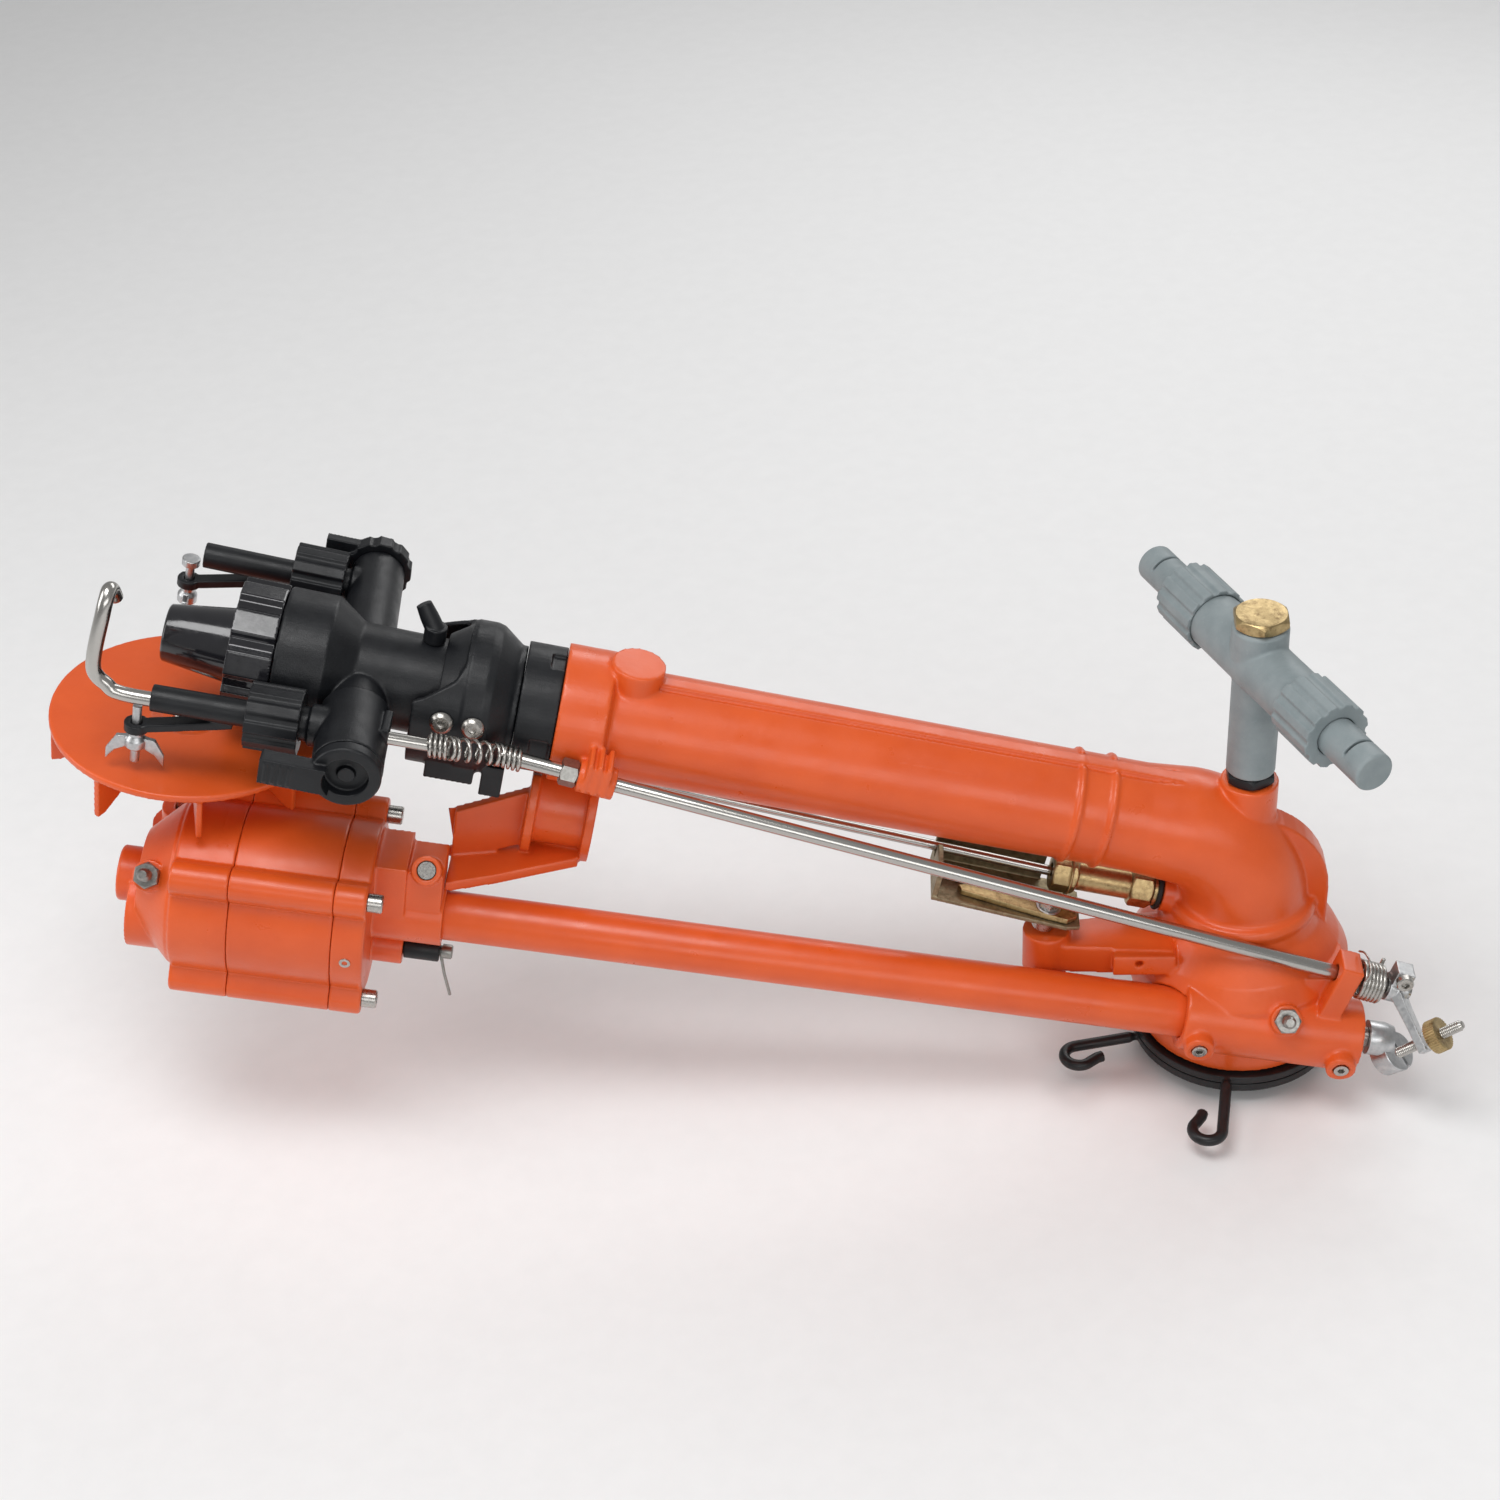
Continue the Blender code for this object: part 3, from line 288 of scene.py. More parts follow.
def D(F, u, v, w):
    return (F.to_3x3() @ Vector((u, v, w))).normalized()

def sub(F, at, along, up):
    """Frame inside F: origin at, local X along, local Z up."""
    return frame(P(F, *at), D(F, *along), D(F, *up))

# ------------------------------------------------------------------ solids (world millimetres)
class Solid:
    def __init__(self, bm):
        bmesh.ops.remove_doubles(bm, verts=bm.verts, dist=1e-4)
        bmesh.ops.recalc_face_normals(bm, faces=bm.faces)
        me = bpy.data.meshes.new("tmp")
        bm.to_mesh(me)
        bm.free()
        self.ob = bpy.data.objects.new("tmp", me)
        bpy.context.scene.collection.objects.link(self.ob)

    def _op(self, other, op):
        mod = self.ob.modifiers.new("b", "BOOLEAN")
        mod.operation = op
        mod.solver = "EXACT"
        mod.object = other.ob
        dg = bpy.context.evaluated_depsgraph_get()
        me = bpy.data.meshes.new_from_object(self.ob.evaluated_get(dg))
        self.ob.modifiers.clear()
        old = self.ob.data
        self.ob.data = me
        bpy.data.meshes.remove(old)

    def add(self, *others):
        for o in others:
            self._op(o, "UNION")
            o.free()
        return self

    def cut(self, *others):
        for o in others:
            self._op(o, "DIFFERENCE")
            o.free()
        return self

    def meet(self, other):
        self._op(other, "INTERSECT")
        other.free()
        return self

    def free(self):
        me = self.ob.data
        bpy.data.objects.remove(self.ob, do_unlink=True)
        bpy.data.meshes.remove(me)

def loft(rings, closed=False):
    """Rings of equal point counts, joined in order; ends capped unless closed."""
    bm = bmesh.new()
    vr = [[bm.verts.new(p) for p in r] for r in rings]
    n = len(vr[0])
    pairs = list(zip(vr[:-1], vr[1:])) + ([(vr[-1], vr[0])] if closed else [])
    for a, b in pairs:
        for i in range(n):
            j = (i + 1) % n
            bm.faces.new((a[i], a[j], b[j], b[i]))
    if not closed:
        bm.faces.new(list(reversed(vr[0])))
        bm.faces.new(vr[-1])
    return Solid(bm)

def ring_pts(F, u, r, n, phase=0.0, cv=0.0, cw=0.0):
    return [P(F, u, cv + r * math.cos(2 * math.pi * i / n + phase), cw + r * math.sin(2 * math.pi * i / n + phase))
            for i in range(n)]

def fine(n):
    """Facet count for a round form."""
    return n if n <= 6 else min(72, n * 3)

def turn(F, prof, n=24, closed=False, phase=0.0):
    """Turned solid about the local X axis; prof is (u, r)."""
    n = fine(n)
    prof = [(u, max(r, 0.02)) for u, r in prof]
    return loft([ring_pts(F, u, r, n, phase) for u, r in prof], closed)

def cyl(F, u0, u1, r, n=24, phase=0.0):
    return turn(F, [(u0, r), (u1, r)], n, phase=phase)

def tube(F, u0, u1, r0, r1, n=24):
    """Pipe with inner radius r0 and outer radius r1."""
    return turn(F, [(u0, r0), (u0, r1), (u1, r1), (u1, r0)], n, closed=True)

def box(F, us, vs, ws):
    ring = lambda u: [P(F, u, vs[0], ws[0]), P(F, u, vs[1], ws[0]), P(F, u, vs[1], ws[1]), P(F, u, vs[0], ws[1])]
    return loft([ring(us[0]), ring(us[1])])

def prism(F, poly, v0, v1):
    """Outline in local (u, w), pushed along local v."""
    return loft([[P(F, u, v0, w) for u, w in poly], [P(F, u, v1, w) for u, w in poly]])

def slab(F, poly, w0, w1):
    """Outline in local (u, v), pushed along local w."""
    return loft([[P(F, u, v, w0) for u, v in poly], [P(F, u, v, w1) for u, v in poly]])

def flow(pts, radii, k):
    """Smooth path through the points, k steps a span (centripetal)."""
    out, rr = [], []
    for i in range(len(pts) - 1):
        p1, p2 = pts[i], pts[i + 1]
        p0 = pts[i - 1] if i > 0 else p1 * 2 - p2
        p3 = pts[i + 2] if i + 2 < len(pts) else p2 * 2 - p1
        t0 = 0.0
        t1 = t0 + max((p1 - p0).length, 1e-6) ** 0.5
        t2 = t1 + max((p2 - p1).length, 1e-6) ** 0.5
        t3 = t2 + max((p3 - p2).length, 1e-6) ** 0.5
        for j in range(k):
            f = j / k
            t = t1 + (t2 - t1) * f
            a1 = p0 * ((t1 - t) / (t1 - t0)) + p1 * ((t - t0) / (t1 - t0))
            a2 = p1 * ((t2 - t) / (t2 - t1)) + p2 * ((t - t1) / (t2 - t1))
            a3 = p2 * ((t3 - t) / (t3 - t2)) + p3 * ((t - t2) / (t3 - t2))
            b1 = a1 * ((t2 - t) / (t2 - t0)) + a2 * ((t - t0) / (t2 - t0))
            b2 = a2 * ((t3 - t) / (t3 - t1)) + a3 * ((t - t1) / (t3 - t1))
            out.append(b1 * ((t2 - t) / (t2 - t1)) + b2 * ((t - t1) / (t2 - t1)))
            rr.append(radii[i] + (radii[i + 1] - radii[i]) * f)
    return out + [pts[-1]], rr + [radii[-1]]

def sweep(pts, radii, n=12, up=(0, 1, 0), smooth=0):
    """Round bar along world points with parallel-carried rings."""
    pts = [Vector(p) for p in pts]
    if not hasattr(radii, "__len__"):
        radii = [radii] * len(pts)
    if smooth:
        pts, radii = flow(pts, radii, smooth)
    n = fine(n)
    rings = []
    up = Vector(up)
    for i, p in enumerate(pts):
        if i == 0:
            t = (pts[1] - pts[0]).normalized()
        elif i == len(pts) - 1:
            t = (pts[-1] - pts[-2]).normalized()
        else:
            t = ((pts[i + 1] - p).normalized() + (p - pts[i - 1]).normalized()).normalized()
        a = (up - t * up.dot(t)).normalized()
        b = t.cross(a)
        rings.append([p + radii[i] * (math.cos(2 * math.pi * k / n) * a + math.sin(2 * math.pi * k / n) * b)
                      for k in range(n)])
        up = a
    return loft(rings)

def arc(c, a, b, r, d0, d1, n):
    """Points round c in the plane of unit vectors a, b."""
    c, a, b = Vector(c), Vector(a), Vector(b)
    return [c + r * (math.cos(math.radians(d0 + (d1 - d0) * i / n)) * a + math.sin(math.radians(d0 + (d1 - d0) * i / n)) * b)
            for i in range(n + 1)]

def ribbed(F, u0, u1, r, depth, lobes, bore, duty=0.5):
    """Grip ring: outline with raised ribs and a round bore."""
    steps = lobes * 4
    def ring(u, inner):
        out = []
        for i in range(steps):
            k = i % 4
            a = 2 * math.pi * (i // 4 + (0.0, 0.12, 0.12 + duty, 0.24 + duty)[k]) / lobes
            rr = inner if inner is not None else (r - depth if k in (0, 3) else r)
            out.append(P(F, u, rr * math.cos(a), rr * math.sin(a)))
        return out
    return loft([ring(u0, bore), ring(u0, None), ring(u1, None), ring(u1, bore)], closed=True)

def hexa(F, u0, u1, af, bore=None):
    r = af / 2 / math.cos(math.pi / 6)
    s = turn(F, [(u0, r), (u1, r)], 6)
    c = r - af / 2
    s.meet(turn(F, [(u0, af / 2 * 0.97), (u0 + c, r + 0.1), (u1 - c, r + 0.1), (u1, af / 2 * 0.97)], 16))
    if bore:
        s.cut(cyl(F, u0 - 1, u1 + 1, bore, 12))
    return s


def thread(u0, u1, r, pitch=1.0, depth=0.45):
    """Profile points of a fine ring thread."""
    out = []
    k = int((u1 - u0) / pitch)
    for i in range(k):
        out += [(u0 + pitch * i, r - depth), (u0 + pitch * (i + 0.35), r), (u0 + pitch * (i + 0.65), r)]
    return out + [(u0 + pitch * k, r - depth)]

def coil(line, radius, wire, turns_at, up=(0, 1, 0), n=8, step=22):
    """Wire coiled round a path; turns_at maps 0..1 along the path to a turn count."""
    line = [Vector(p) for p in line]
    seg = [(b - a).length for a, b in zip(line[:-1], line[1:])]
    tot = sum(seg)
    def at(f):
        d = f * tot
        for a, b, l in zip(line[:-1], line[1:], seg):
            if d <= l or b is line[-1]:
                return a + (b - a) * (d / l), (b - a).normalized()
            d -= l
    total_turns = turns_at(1.0)
    pts = []
    m = int(total_turns * step)
    f = 0.0
    for i in range(m + 1):
        want = i / step
        lo, hi = 0.0, 1.0
        for _ in range(18):
            f = (lo + hi) / 2
            if turns_at(f) < want:
                lo = f
            else:
                hi = f
        p, t = at(f)
        a = (Vector(up) - t * t.dot(Vector(up))).normalized()
        b = t.cross(a)
        ang = 2 * math.pi * want
        pts.append(p + radius * (math.cos(ang) * a + math.sin(ang) * b))
    return pts


STYLE = {}
DONE = {}

def settle(solid, style):
    """Finishes a shape: ("cast", voxel, steps, keep) rounds all edges; ("edge", width) chamfers sharp ones."""
    ob = solid.ob
    if style[0] == "cast":
        m = ob.modifiers.new("v", "REMESH")
        m.mode = "VOXEL"
        m.voxel_size = style[1]
        m = ob.modifiers.new("s", "SMOOTH")
        m.factor = 0.5
        m.iterations = style[2]
        if style[3] < 1:
            m = ob.modifiers.new("d", "DECIMATE")
            m.ratio = style[3]
    else:
        m = ob.modifiers.new("b", "BEVEL")
        m.width = style[1]
        m.segments = 2
        m.limit_method = "ANGLE"
        m.angle_limit = math.radians(35)
        m.use_clamp_overlap = True
    dg = bpy.context.evaluated_depsgraph_get()
    me = bpy.data.meshes.new_from_object(ob.evaluated_get(dg))
    ob.modifiers.clear()
    old = ob.data
    ob.data = me
    bpy.data.meshes.remove(old)
    return solid

def piece(name, solid, mat, body, style=("edge", 0.3), sharp=34):
    """Finishes a shape and lets it ride on a body."""
    settle(solid, style)
    ob = solid.ob
    me = ob.data
    bm = bmesh.new()
    bm.from_mesh(me)
    bmesh.ops.remove_doubles(bm, verts=bm.verts, dist=1e-3)
    bmesh.ops.dissolve_degenerate(bm, edges=bm.edges, dist=1e-4)
    loose = [v for v in bm.verts if not v.link_faces]
    bmesh.ops.delete(bm, geom=loose, context="VERTS")
    for v in bm.verts:
        v.co = v.co * 0.001
    bm.to_mesh(me)
    bm.free()
    me.name = name
    ob.name = name
    me.materials.clear()
    me.materials.append(MATS[mat])
    me.shade_smooth()
    if style[0] == "edge":
        me.set_sharp_from_angle(angle=math.radians(sharp))
    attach(ob, body)
    return ob

def emit(name, solid, mat, origin=(0, 0, 0), sharp=34):
    """Visible piece that stands for the CAD node of that name."""
    ob = piece("v_" + name, solid, LOOK.get(name, mat), BODY_OF[name], STYLE.get(name, ("edge", 0.3)), sharp)
    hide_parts(name)
    DONE[name] = ob
    return ob

LOOK = {"main_rod": "rod", "trip_rod": "rod", "short_shaft": "rod", "housing_nipple": "dull", "muzzle_nut": "dull", "cover_nipple": "dull"}
STYLE.update({n: ("cast", v, k, d) for n, v, k, d in (
    ("gun_casting", 0.9, 4, 0.5), ("gearbox_rear_cover", 0.7, 3, 0.5), ("gearbox_body", 0.7, 2, 0.5), ("gearbox_front_cover", 0.7, 3, 0.5),
    ("support_bracket", 0.8, 3, 0.5), ("turbine_disc", 0.7, 3, 0.5), ("tee_body", 0.7, 3, 0.5), ("union_nut_near", 0.5, 3, 0.6), ("union_nut_far", 0.5, 3, 0.6),
    ("tee_jet_near", 0.5, 2, 0.6), ("tee_jet_far", 0.5, 2, 0.6), ("head_body", 0.7, 4, 0.5), ("hood", 0.7, 3, 0.5), ("bayonet_ring", 0.6, 2, 0.5),
    ("side_nut_near", 0.45, 3, 0.6), ("side_nut_far", 0.45, 3, 0.6), ("side_tube_near", 0.5, 3, 0.6), ("side_tube_far", 0.5, 3, 0.6),
    ("ring_nut", 0.6, 3, 0.9), ("valve_lever_near", 0.5, 3, 0.6), ("valve_cap_far", 0.5, 3, 0.6), ("hood_knob", 0.45, 3, 0.6),
    ("inlet_hub", 0.9, 3, 0.5), ("stop_ring_upper", 0.5, 2, 0.5), ("stop_ring_lower", 0.5, 2, 0.5), ("clamp_lever", 0.4, 2, 0.6),
    ("wing_bolt_near", 0.35, 2, 0.6), ("wing_bolt_far", 0.35, 2, 0.6), ("trip_fitting", 0.45, 2, 0.6), ("trip_tray", 0.4, 2, 0.6), ("trip_lever", 0.4, 2, 0.6))})

# ------------------------------------------------------------------ fixed inlet
ZF = frame((0, 0, 0), (0, 0, 1), (1, 0, 0))          # local X = world Z

inlet = turn(ZF, [(-14, INLET_BORE), (-14, 38), (-4.2, 38), (-4.2, 29.6), (62, 29.6), (62, INLET_BORE)], 32, closed=True)
emit("inlet_hub", inlet, "iron")

_teeth = []
for _i in range(WHEEL_TEETH):
    for _f, _r in ((0.0, 34.2), (0.35, 37.5), (0.65, 37.5)):
        _a = 2 * math.pi * (_i + _f) / WHEEL_TEETH
        _teeth.append((_r * math.cos(_a), _r * math.sin(_a)))
_inn = [(29.9 * math.cos(math.atan2(y, x)), 29.9 * math.sin(math.atan2(y, x))) for x, y in _teeth]
wheel = loft([[Vector((x, y, z)) for x, y in p] for p, z in ((_inn, 34), (_teeth, 34), (_teeth, 45), (_inn, 45))], closed=True)
emit("worm_wheel", wheel, "bronze")

def stop_ring(zc, deg, side, drop):
    """Adjustable ring with a bent wire stop; side gives the way that the hook turns."""
    s = turn(ZF, [(zc - 2.4, 30.3), (zc - 2.4, RING_R), (zc + 2.4, RING_R), (zc + 2.4, 30.3)], 28, closed=True)
    a = math.radians(deg)
    e = Vector((math.cos(a), math.sin(a), 0))
    t = Vector((-math.sin(a), math.cos(a), 0)) * side
    z = Vector((0, 0, zc))
    w = Vector((0, 0, zc - drop))
    pts = [z + e * 53, w + e * 86, w + e * 90]
    c = w + e * 93 + t * 8.0
    pts += arc(c, -t, e, 8.0, 0, 216, 24)
    pts.append(pts[-1] - e * 5 - t * 2.4)
    pts.append(pts[-1] - e * 3.4 - t * 0.6)
    pts[1:1] = [z + e * 58.5, z + e * 61]
    return s.add(sweep(pts, [2.3, 2.3] + [3.2] * (len(pts) - 2), 8, (0, 0, 1)))

emit("stop_ring_upper", stop_ring(4.0, 261, -1, 3.9), "iron")
emit("stop_ring_lower", stop_ring(-1.4, 193, 1, 0.0), "iron")

# ------------------------------------------------------------------ gun casting
def elbow_path(z0, n=24):
    pts = [Vector((0, 0, z0)), Vector((0, 0, 97))]
    for i in range(1, n + 1):
        f = math.radians((90 - BARREL_TILT) * i / n)
        pts.append(Vector((-45 + 45 * math.cos(f), 0, 97 + 45 * math.sin(f))))
    return pts

_ep = elbow_path(60)
_bar = [(60, 30), (78.5, 30), (79.4, 31.7), (81.6, 31.7), (82.5, 30), (96.5, 30), (97.4, 31.7), (99.6, 31.7), (100.5, 30),
        (350, 30), (352.5, COLLAR_R), (BARREL_END, COLLAR_R)]
gun = sweep(_ep + [P(BAR, u, 0, 0) for u, r in _bar],
            [38, 35.5] + [35 - 0.5 * i / 4 for i in range(24)] + [r for u, r in _bar], 24)
bell = turn(ZF, [(8, 53), (22, 56), (40, 59.5), (57, 60.5), (69, 54.5), (82, 43), (94, 38), (98, 35)], 28)
gun.add(bell)
gun.add(turn(ZF, [(84, 36), (88.5, 40.6), (92, 40.9), (95.5, 39.2), (97, 33)], 26))
gun.add(cyl(sub(BAR, (341, 0, 18), (0, 0, 1), (1, 0, 0)), 0, 21.5, 14.5, 18))
gun.add(box(BAR, (38, 345), (-4.5, 4.5), (26, 31.4)))
gun.add(prism(WORLD, [(10, 60), (46, 60)] + [(-2.5 + 48.5 * math.cos(math.radians(a)), 101 + 48.5 * math.sin(math.radians(a))) for a in range(0, 76, 9)], -8, 8))
gun.add(cyl(ZF, 140, 171.6, 15.5, 16))
# worm housing with its bosses
gun.add(cyl(DRV, -62, 36, HOUSING_R, 20))
for _x, _z in ((-27, 40), (50, 25)):
    gun.add(cyl(frame((_x, -52, _z + 3), (0, -1, -0.12), (0, 0, 1)), 0, 20, 8.2, 12))
gun.add(cyl(frame((19.7, -50, 45), (0, -0.8, 0.6), (0, 0, 1)), 0, 19, 8.5, 14))
# ear that carries the rear of the long rod
RODF = frame(ROD_B, Vector(ROD_A) - Vector(ROD_B), (0, 0, 1))   # local X runs from the rear ear to the muzzle
gun.add(prism(RODF, [(-6, 10), (6, 10), (6, -32), (-6, -32)], -9.5, 9.5))
gun.add(box(frame((40, -30, 55), (1, 0, 0), (0, 0, 1)), (-8, 14), (-16, 14), (-12, 14)))
# ear at the muzzle for the front of the long rod
_rl = (Vector(ROD_A) - Vector(ROD_B)).length
gun.add(cyl(RODF, _rl - 8, _rl + 12, 8.5, 16))
gun.add(box(BAR, (346, 357), (-44, -24), (-18, -2)))
# pads for the trip gear, boss for its fitting
gun.add(slab(WORLD, [(-40, -33), (-107, -29), (-107, -8), (-40, 2)], 62, 80))
gun.add(cyl(frame((-107.7, -18.5, 0), (0, 0, 1), (1, 0, 0)), 58, 84.8, 13, 20))
gun.add(box(WORLD, (-38, -72), (-38, -18), (66, 79)))
FIT = tilted((-30, 0, 91.3), BARREL_TILT)           # line of the brass fitting
gun.add(cyl(FIT, -4, 15, 11, 18))
for _du in (-4.6, 0.4, 5.4):
    gun.add(box(sub(RODF, (_rl + 2 + _du, 0, 0), (1, 0, 0), (0, 0, 1)), (-1.3, 1.3), (-9.2, 9.4), (-4, 15)))
gun.add(box(sub(RODF, (_rl + 2, 0, 0), (1, 0, 0), (0, 0, 1)), (-6.5, 6.8), (-7, 8.6), (-2, 12.5)))
gun.cut(box(BAR, (44, 336), (-6.1, -4.6), (28.3, 33)), box(BAR, (44, 336), (4.6, 6.1), (28.3, 33)))
gun.cut(cyl(frame((-58, -38, 74), (0, -1, 0), (0, 0, 1)), -6, 2, 2.2, 12))
# waterways
gun.cut(sweep([Vector((0, 0, 52))] + _ep + [P(BAR, 60, 0, 0), P(BAR, BARREL_END + 3, 0, 0)], [26.5] * 3 + [BARREL_BORE] * 26, 18))
gun.cut(turn(ZF, [(5, 46), (50, 46), (50, 30), (63.5, 30)], 22))
gun.cut(cyl(DRV, -68, 17, 10, 18), cyl(DRV, 15, 62, TUBE_R + GAP, 24))
gun.cut(cyl(frame((0, 0, 150), (0, 0, 1), (1, 0, 0)), -10, 23, 8, 16))
gun.cut(cyl(RODF, -20, 30, ROD_R + 0.5, 14), cyl(RODF, _rl - 30, _rl + 30, ROD_R + 0.5, 14))
gun.cut(cyl(FIT, 7, 17, 7.6, 14))
for _x, _z in ((-27, 40), (50, 25)):
    gun.cut(cyl(frame((_x, -52, _z + 3), (0, -1, -0.12), (0, 0, 1)), 8, 21, 4.3, 12))
gun.cut(cyl(frame((19.7, -50, 45), (0, -0.8, 0.6), (0, 0, 1)), 9, 20, 3.3, 10))
emit("gun_casting", gun, "orange")

# ------------------------------------------------------------------ drive line
emit("drive_tube", tube(DRV, 21, 458, TUBE_BORE, TUBE_R, 24), "orange")
_pr = []
for _i in range(8):
    _pr += [(-20 + _i * 5.0, 6.2), (-18.4 + _i * 5.0, 8.2), (-16.6 + _i * 5.0, 8.2)]
shaft = turn(DRV, [(-68, 6)] + _pr + [(22, 6), (474, 6)], 12)
emit("drive_shaft", shaft, "steel", P(DRV, 0, 0, 0))
CAM = frame(P(DRV, -68.3, -4, -3.7), D(DRV, -1, 0, 0), (0, 0, 1))
cam = turn(frame(P(DRV, -68.3, 0, 0), D(DRV, -1, 0, 0), (0, 0, 1)), [(0, 9.5), (9, 9.5), (14, 8)], 24)
CAF = frame(P(CAM, 18.5, 0, 0), (0.60, -0.39, 0.70), (0, 0, 1))      # slanting face
cam.add(turn(CAF, [(-13, 8.5), (-11, 11), (0, 11), (0.4, 10.6)], 24))
cam.cut(box(frame(P(CAF, 0, 0, 0), D(CAF, 1, 0, 0), (0.5, -0.3, 0.8)), (-1.2, 3), (-0.9, 0.9), (-12, 12)))
cam.cut(box(DRV, (-68, -40), (-30, 30), (-30, 30)))
emit("drive_cam", cam, "zinc", P(DRV, 0, 0, 0))
for _n, _x, _z in (("left", -27, 40), ("right", 50, 25)):
    _f = frame((_x, -52, _z + 3), (0, -1, -0.12), (0, 0, 1))
    s = cyl(_f, 10, 20.4, 4.0, 12)
    s.cut(hexa(_f, 17.5, 21, 3.6))
    emit("housing_set_screw_" + _n, s, "steel")

def nipple(F, u0):
    """Hexagon base with a stepped ball end."""
    s = hexa(F, u0, u0 + 5, 12.5)
    s.add(turn(F, [(u0 - 8, 2.9), (u0 + 6, 2.9), (u0 + 6.8, 3.6), (u0 + 9, 2.3), (u0 + 10.5, 2.3), (u0 + 12, 3.4), (u0 + 13.5, 2.2)], 8))
    return s

emit("housing_nipple", nipple(frame((19.7, -50, 45), (0, -0.8, 0.6), (0, 0, 1)), 19.3), "steel")

# ------------------------------------------------------------------ gearbox
def gear_outline(u, n=180, r0=GEAR_R, grow=0.0):
    """Round body with four screw ridges, as a ring at station u."""
    pts = []
    for i in range(n):
        a = 2 * math.pi * i / n
        r = r0
        for k in range(4):
            c = math.radians(48.2 + 90 * k)
            d = a - c
            s = 50 * math.sin(d)
            if abs(s) < 9 and math.cos(d) > 0:
                r = max(r, 50 * math.cos(d) + math.sqrt(81 - s * s))
        r += grow
        pts.append(P(DRV, u, r * math.cos(a), r * math.sin(a)))
    return pts

def gear_block(stations):
    return loft([gear_outline(u, grow=g) for u, g in stations])

SCREWS = [(50 * math.cos(math.radians(48.2 + 90 * k)), 50 * math.sin(math.radians(48.2 + 90 * k))) for k in range(4)]
SELF = sub(DRV, (461.7, 0, -26), (-1, 0, 0), (0, 0, 1))        # selector pin, pulled out away from the gearbox

rear = gear_block([(479, -1), (480, 0), (495.6, 0), (496, -0.3)])
rear.add(cyl(DRV, 441.3, 482, 17, 24), box(DRV, (462, 482), (-16, 18), (-4, 40)), box(DRV, (443, 464), (-13, 15), (-2, 37)))
rear.add(cyl(sub(DRV, (482, 0, -26), (-1, 0, 0), (0, 0, 1)), 0, 20, 10, 18))
NSC = sub(DRV, (452, -3, 31), (0, -0.75, 0.66), (1, 0, 0))
rear.add(cyl(NSC, -2, 15.5, 8, 14))
rear.cut(cyl(DRV, 440, 459, TUBE_R + GAP, 20), cyl(DRV, 455, 497, 7.5, 12))
rear.cut(cyl(SELF, -38, 1, 4.6, 14))
rear.cut(cyl(NSC, 3, 17, 5.2, 12))
for _v, _w in SCREWS:
    rear.cut(cyl(sub(DRV, (497.5, _v, _w), (-1, 0, 0), (0, 0, 1)), 0, 20, 3.0, 10))
emit("gearbox_rear_cover", rear, "orange")

body = gear_block([(496.2, -0.3), (496.6, 0), (550.5, 0), (550.8, -0.3)])
body.cut(cyl(DRV, 495, 540, 40, 24))
emit("gearbox_body", body, "orange")
_gs = sub(DRV, (488, -46.2, -2), (0, -1, -0.05), (1, 0, 0))
piece("cover_set_screw", tube(_gs, -2, 1.2, 1.5, 3.0, 12), "steel", "gun", ("edge", 0.15))

front = gear_block([(551.0, -0.3), (551.4, 0), (560.2, 0), (560.6, -0.8), (561, 0), (581, 0), (582, -1)])
front.add(turn(DRV, [(579, 45), (584, 44.5), (603, 26)], 24))
front.add(cyl(sub(DRV, (560, -6, -15), (1, 0, 0), (0, 0, 1)), 0, 48.5, 23, 22))
front.add(turn(DRV, [(592, 15), (615.3, 15), (616.3, 14)], 18))
front.add(cyl(sub(DRV, (DISC_U, 46, -32), (0, 0, 1), (1, 0, 0)), 0, 34, 19, 18))
front.add(cyl(sub(DRV, (DISC_U, 46, 0), (0, 0, 1), (1, 0, 0)), 0, 14, 14, 18))
FNI = sub(DRV, (594, -9, 7), (0.05, -0.75, 0.66), (1, 0, 0))
front.add(cyl(FNI, 0, 28, 8.5, 12))
front.cut(cyl(DRV, 550, 572, 38, 22))
front.cut(cyl(sub(DRV, (DISC_U, 46, -27), (0, 0, 1), (1, 0, 0)), 0, 45, 6.6, 14))
front.cut(cyl(FNI, 18, 30, 3.3, 8))
emit("gearbox_front_cover", front, "orange")

for _k, (_v, _w) in enumerate(SCREWS):
    _f = sub(DRV, (496, _v, _w), (-1, 0, 0), (0, 0, 1))
    s = turn(_f, [(1, 2.6), (17.3, 2.6), (17.3, 5), (24.3, 5), (25, 4.4)], 10)
    s.cut(hexa(_f, 21.5, 26, 4.6))
    emit("cap_screw_%d" % (_k + 1), s, "steel")

sel = turn(SELF, [(-22, 4.2), (0.4, 4.2), (0.4, 6.3), (19, 6.3), (19.6, 5.6)], 12)
_sn = turn(SELF, [(19.7, 3.0), (21, 3.0), (21, 4), (26, 4), (26.6, 3.2)], 12)
_p = P(SELF, 20.4, 0, 0)
_sn.add(sweep([_p + Vector((0, -1, 2)), _p + Vector((0.3, -3.6, -3)), _p + Vector((0.8, -5.2, -12)), _p + Vector((2.2, -5.6, -27))], 0.9, 6, (1, 0, 0)))
emit("selector_pin", sel, "black", P(SELF, 0, 0, 0))
piece("selector_nut", _sn, "dull", "selector", ("edge", 0.15))

s = turn(NSC, [(3.4, 2.9), (9.6, 2.9), (9.6, 4.7), (14, 4.7)], 14)
s.cut(hexa(NSC, 11.6, 15.5, 4.6))
emit("neck_clamp_screw", s, "steel")
emit("cover_nipple", nipple(FNI, 28.3), "steel")

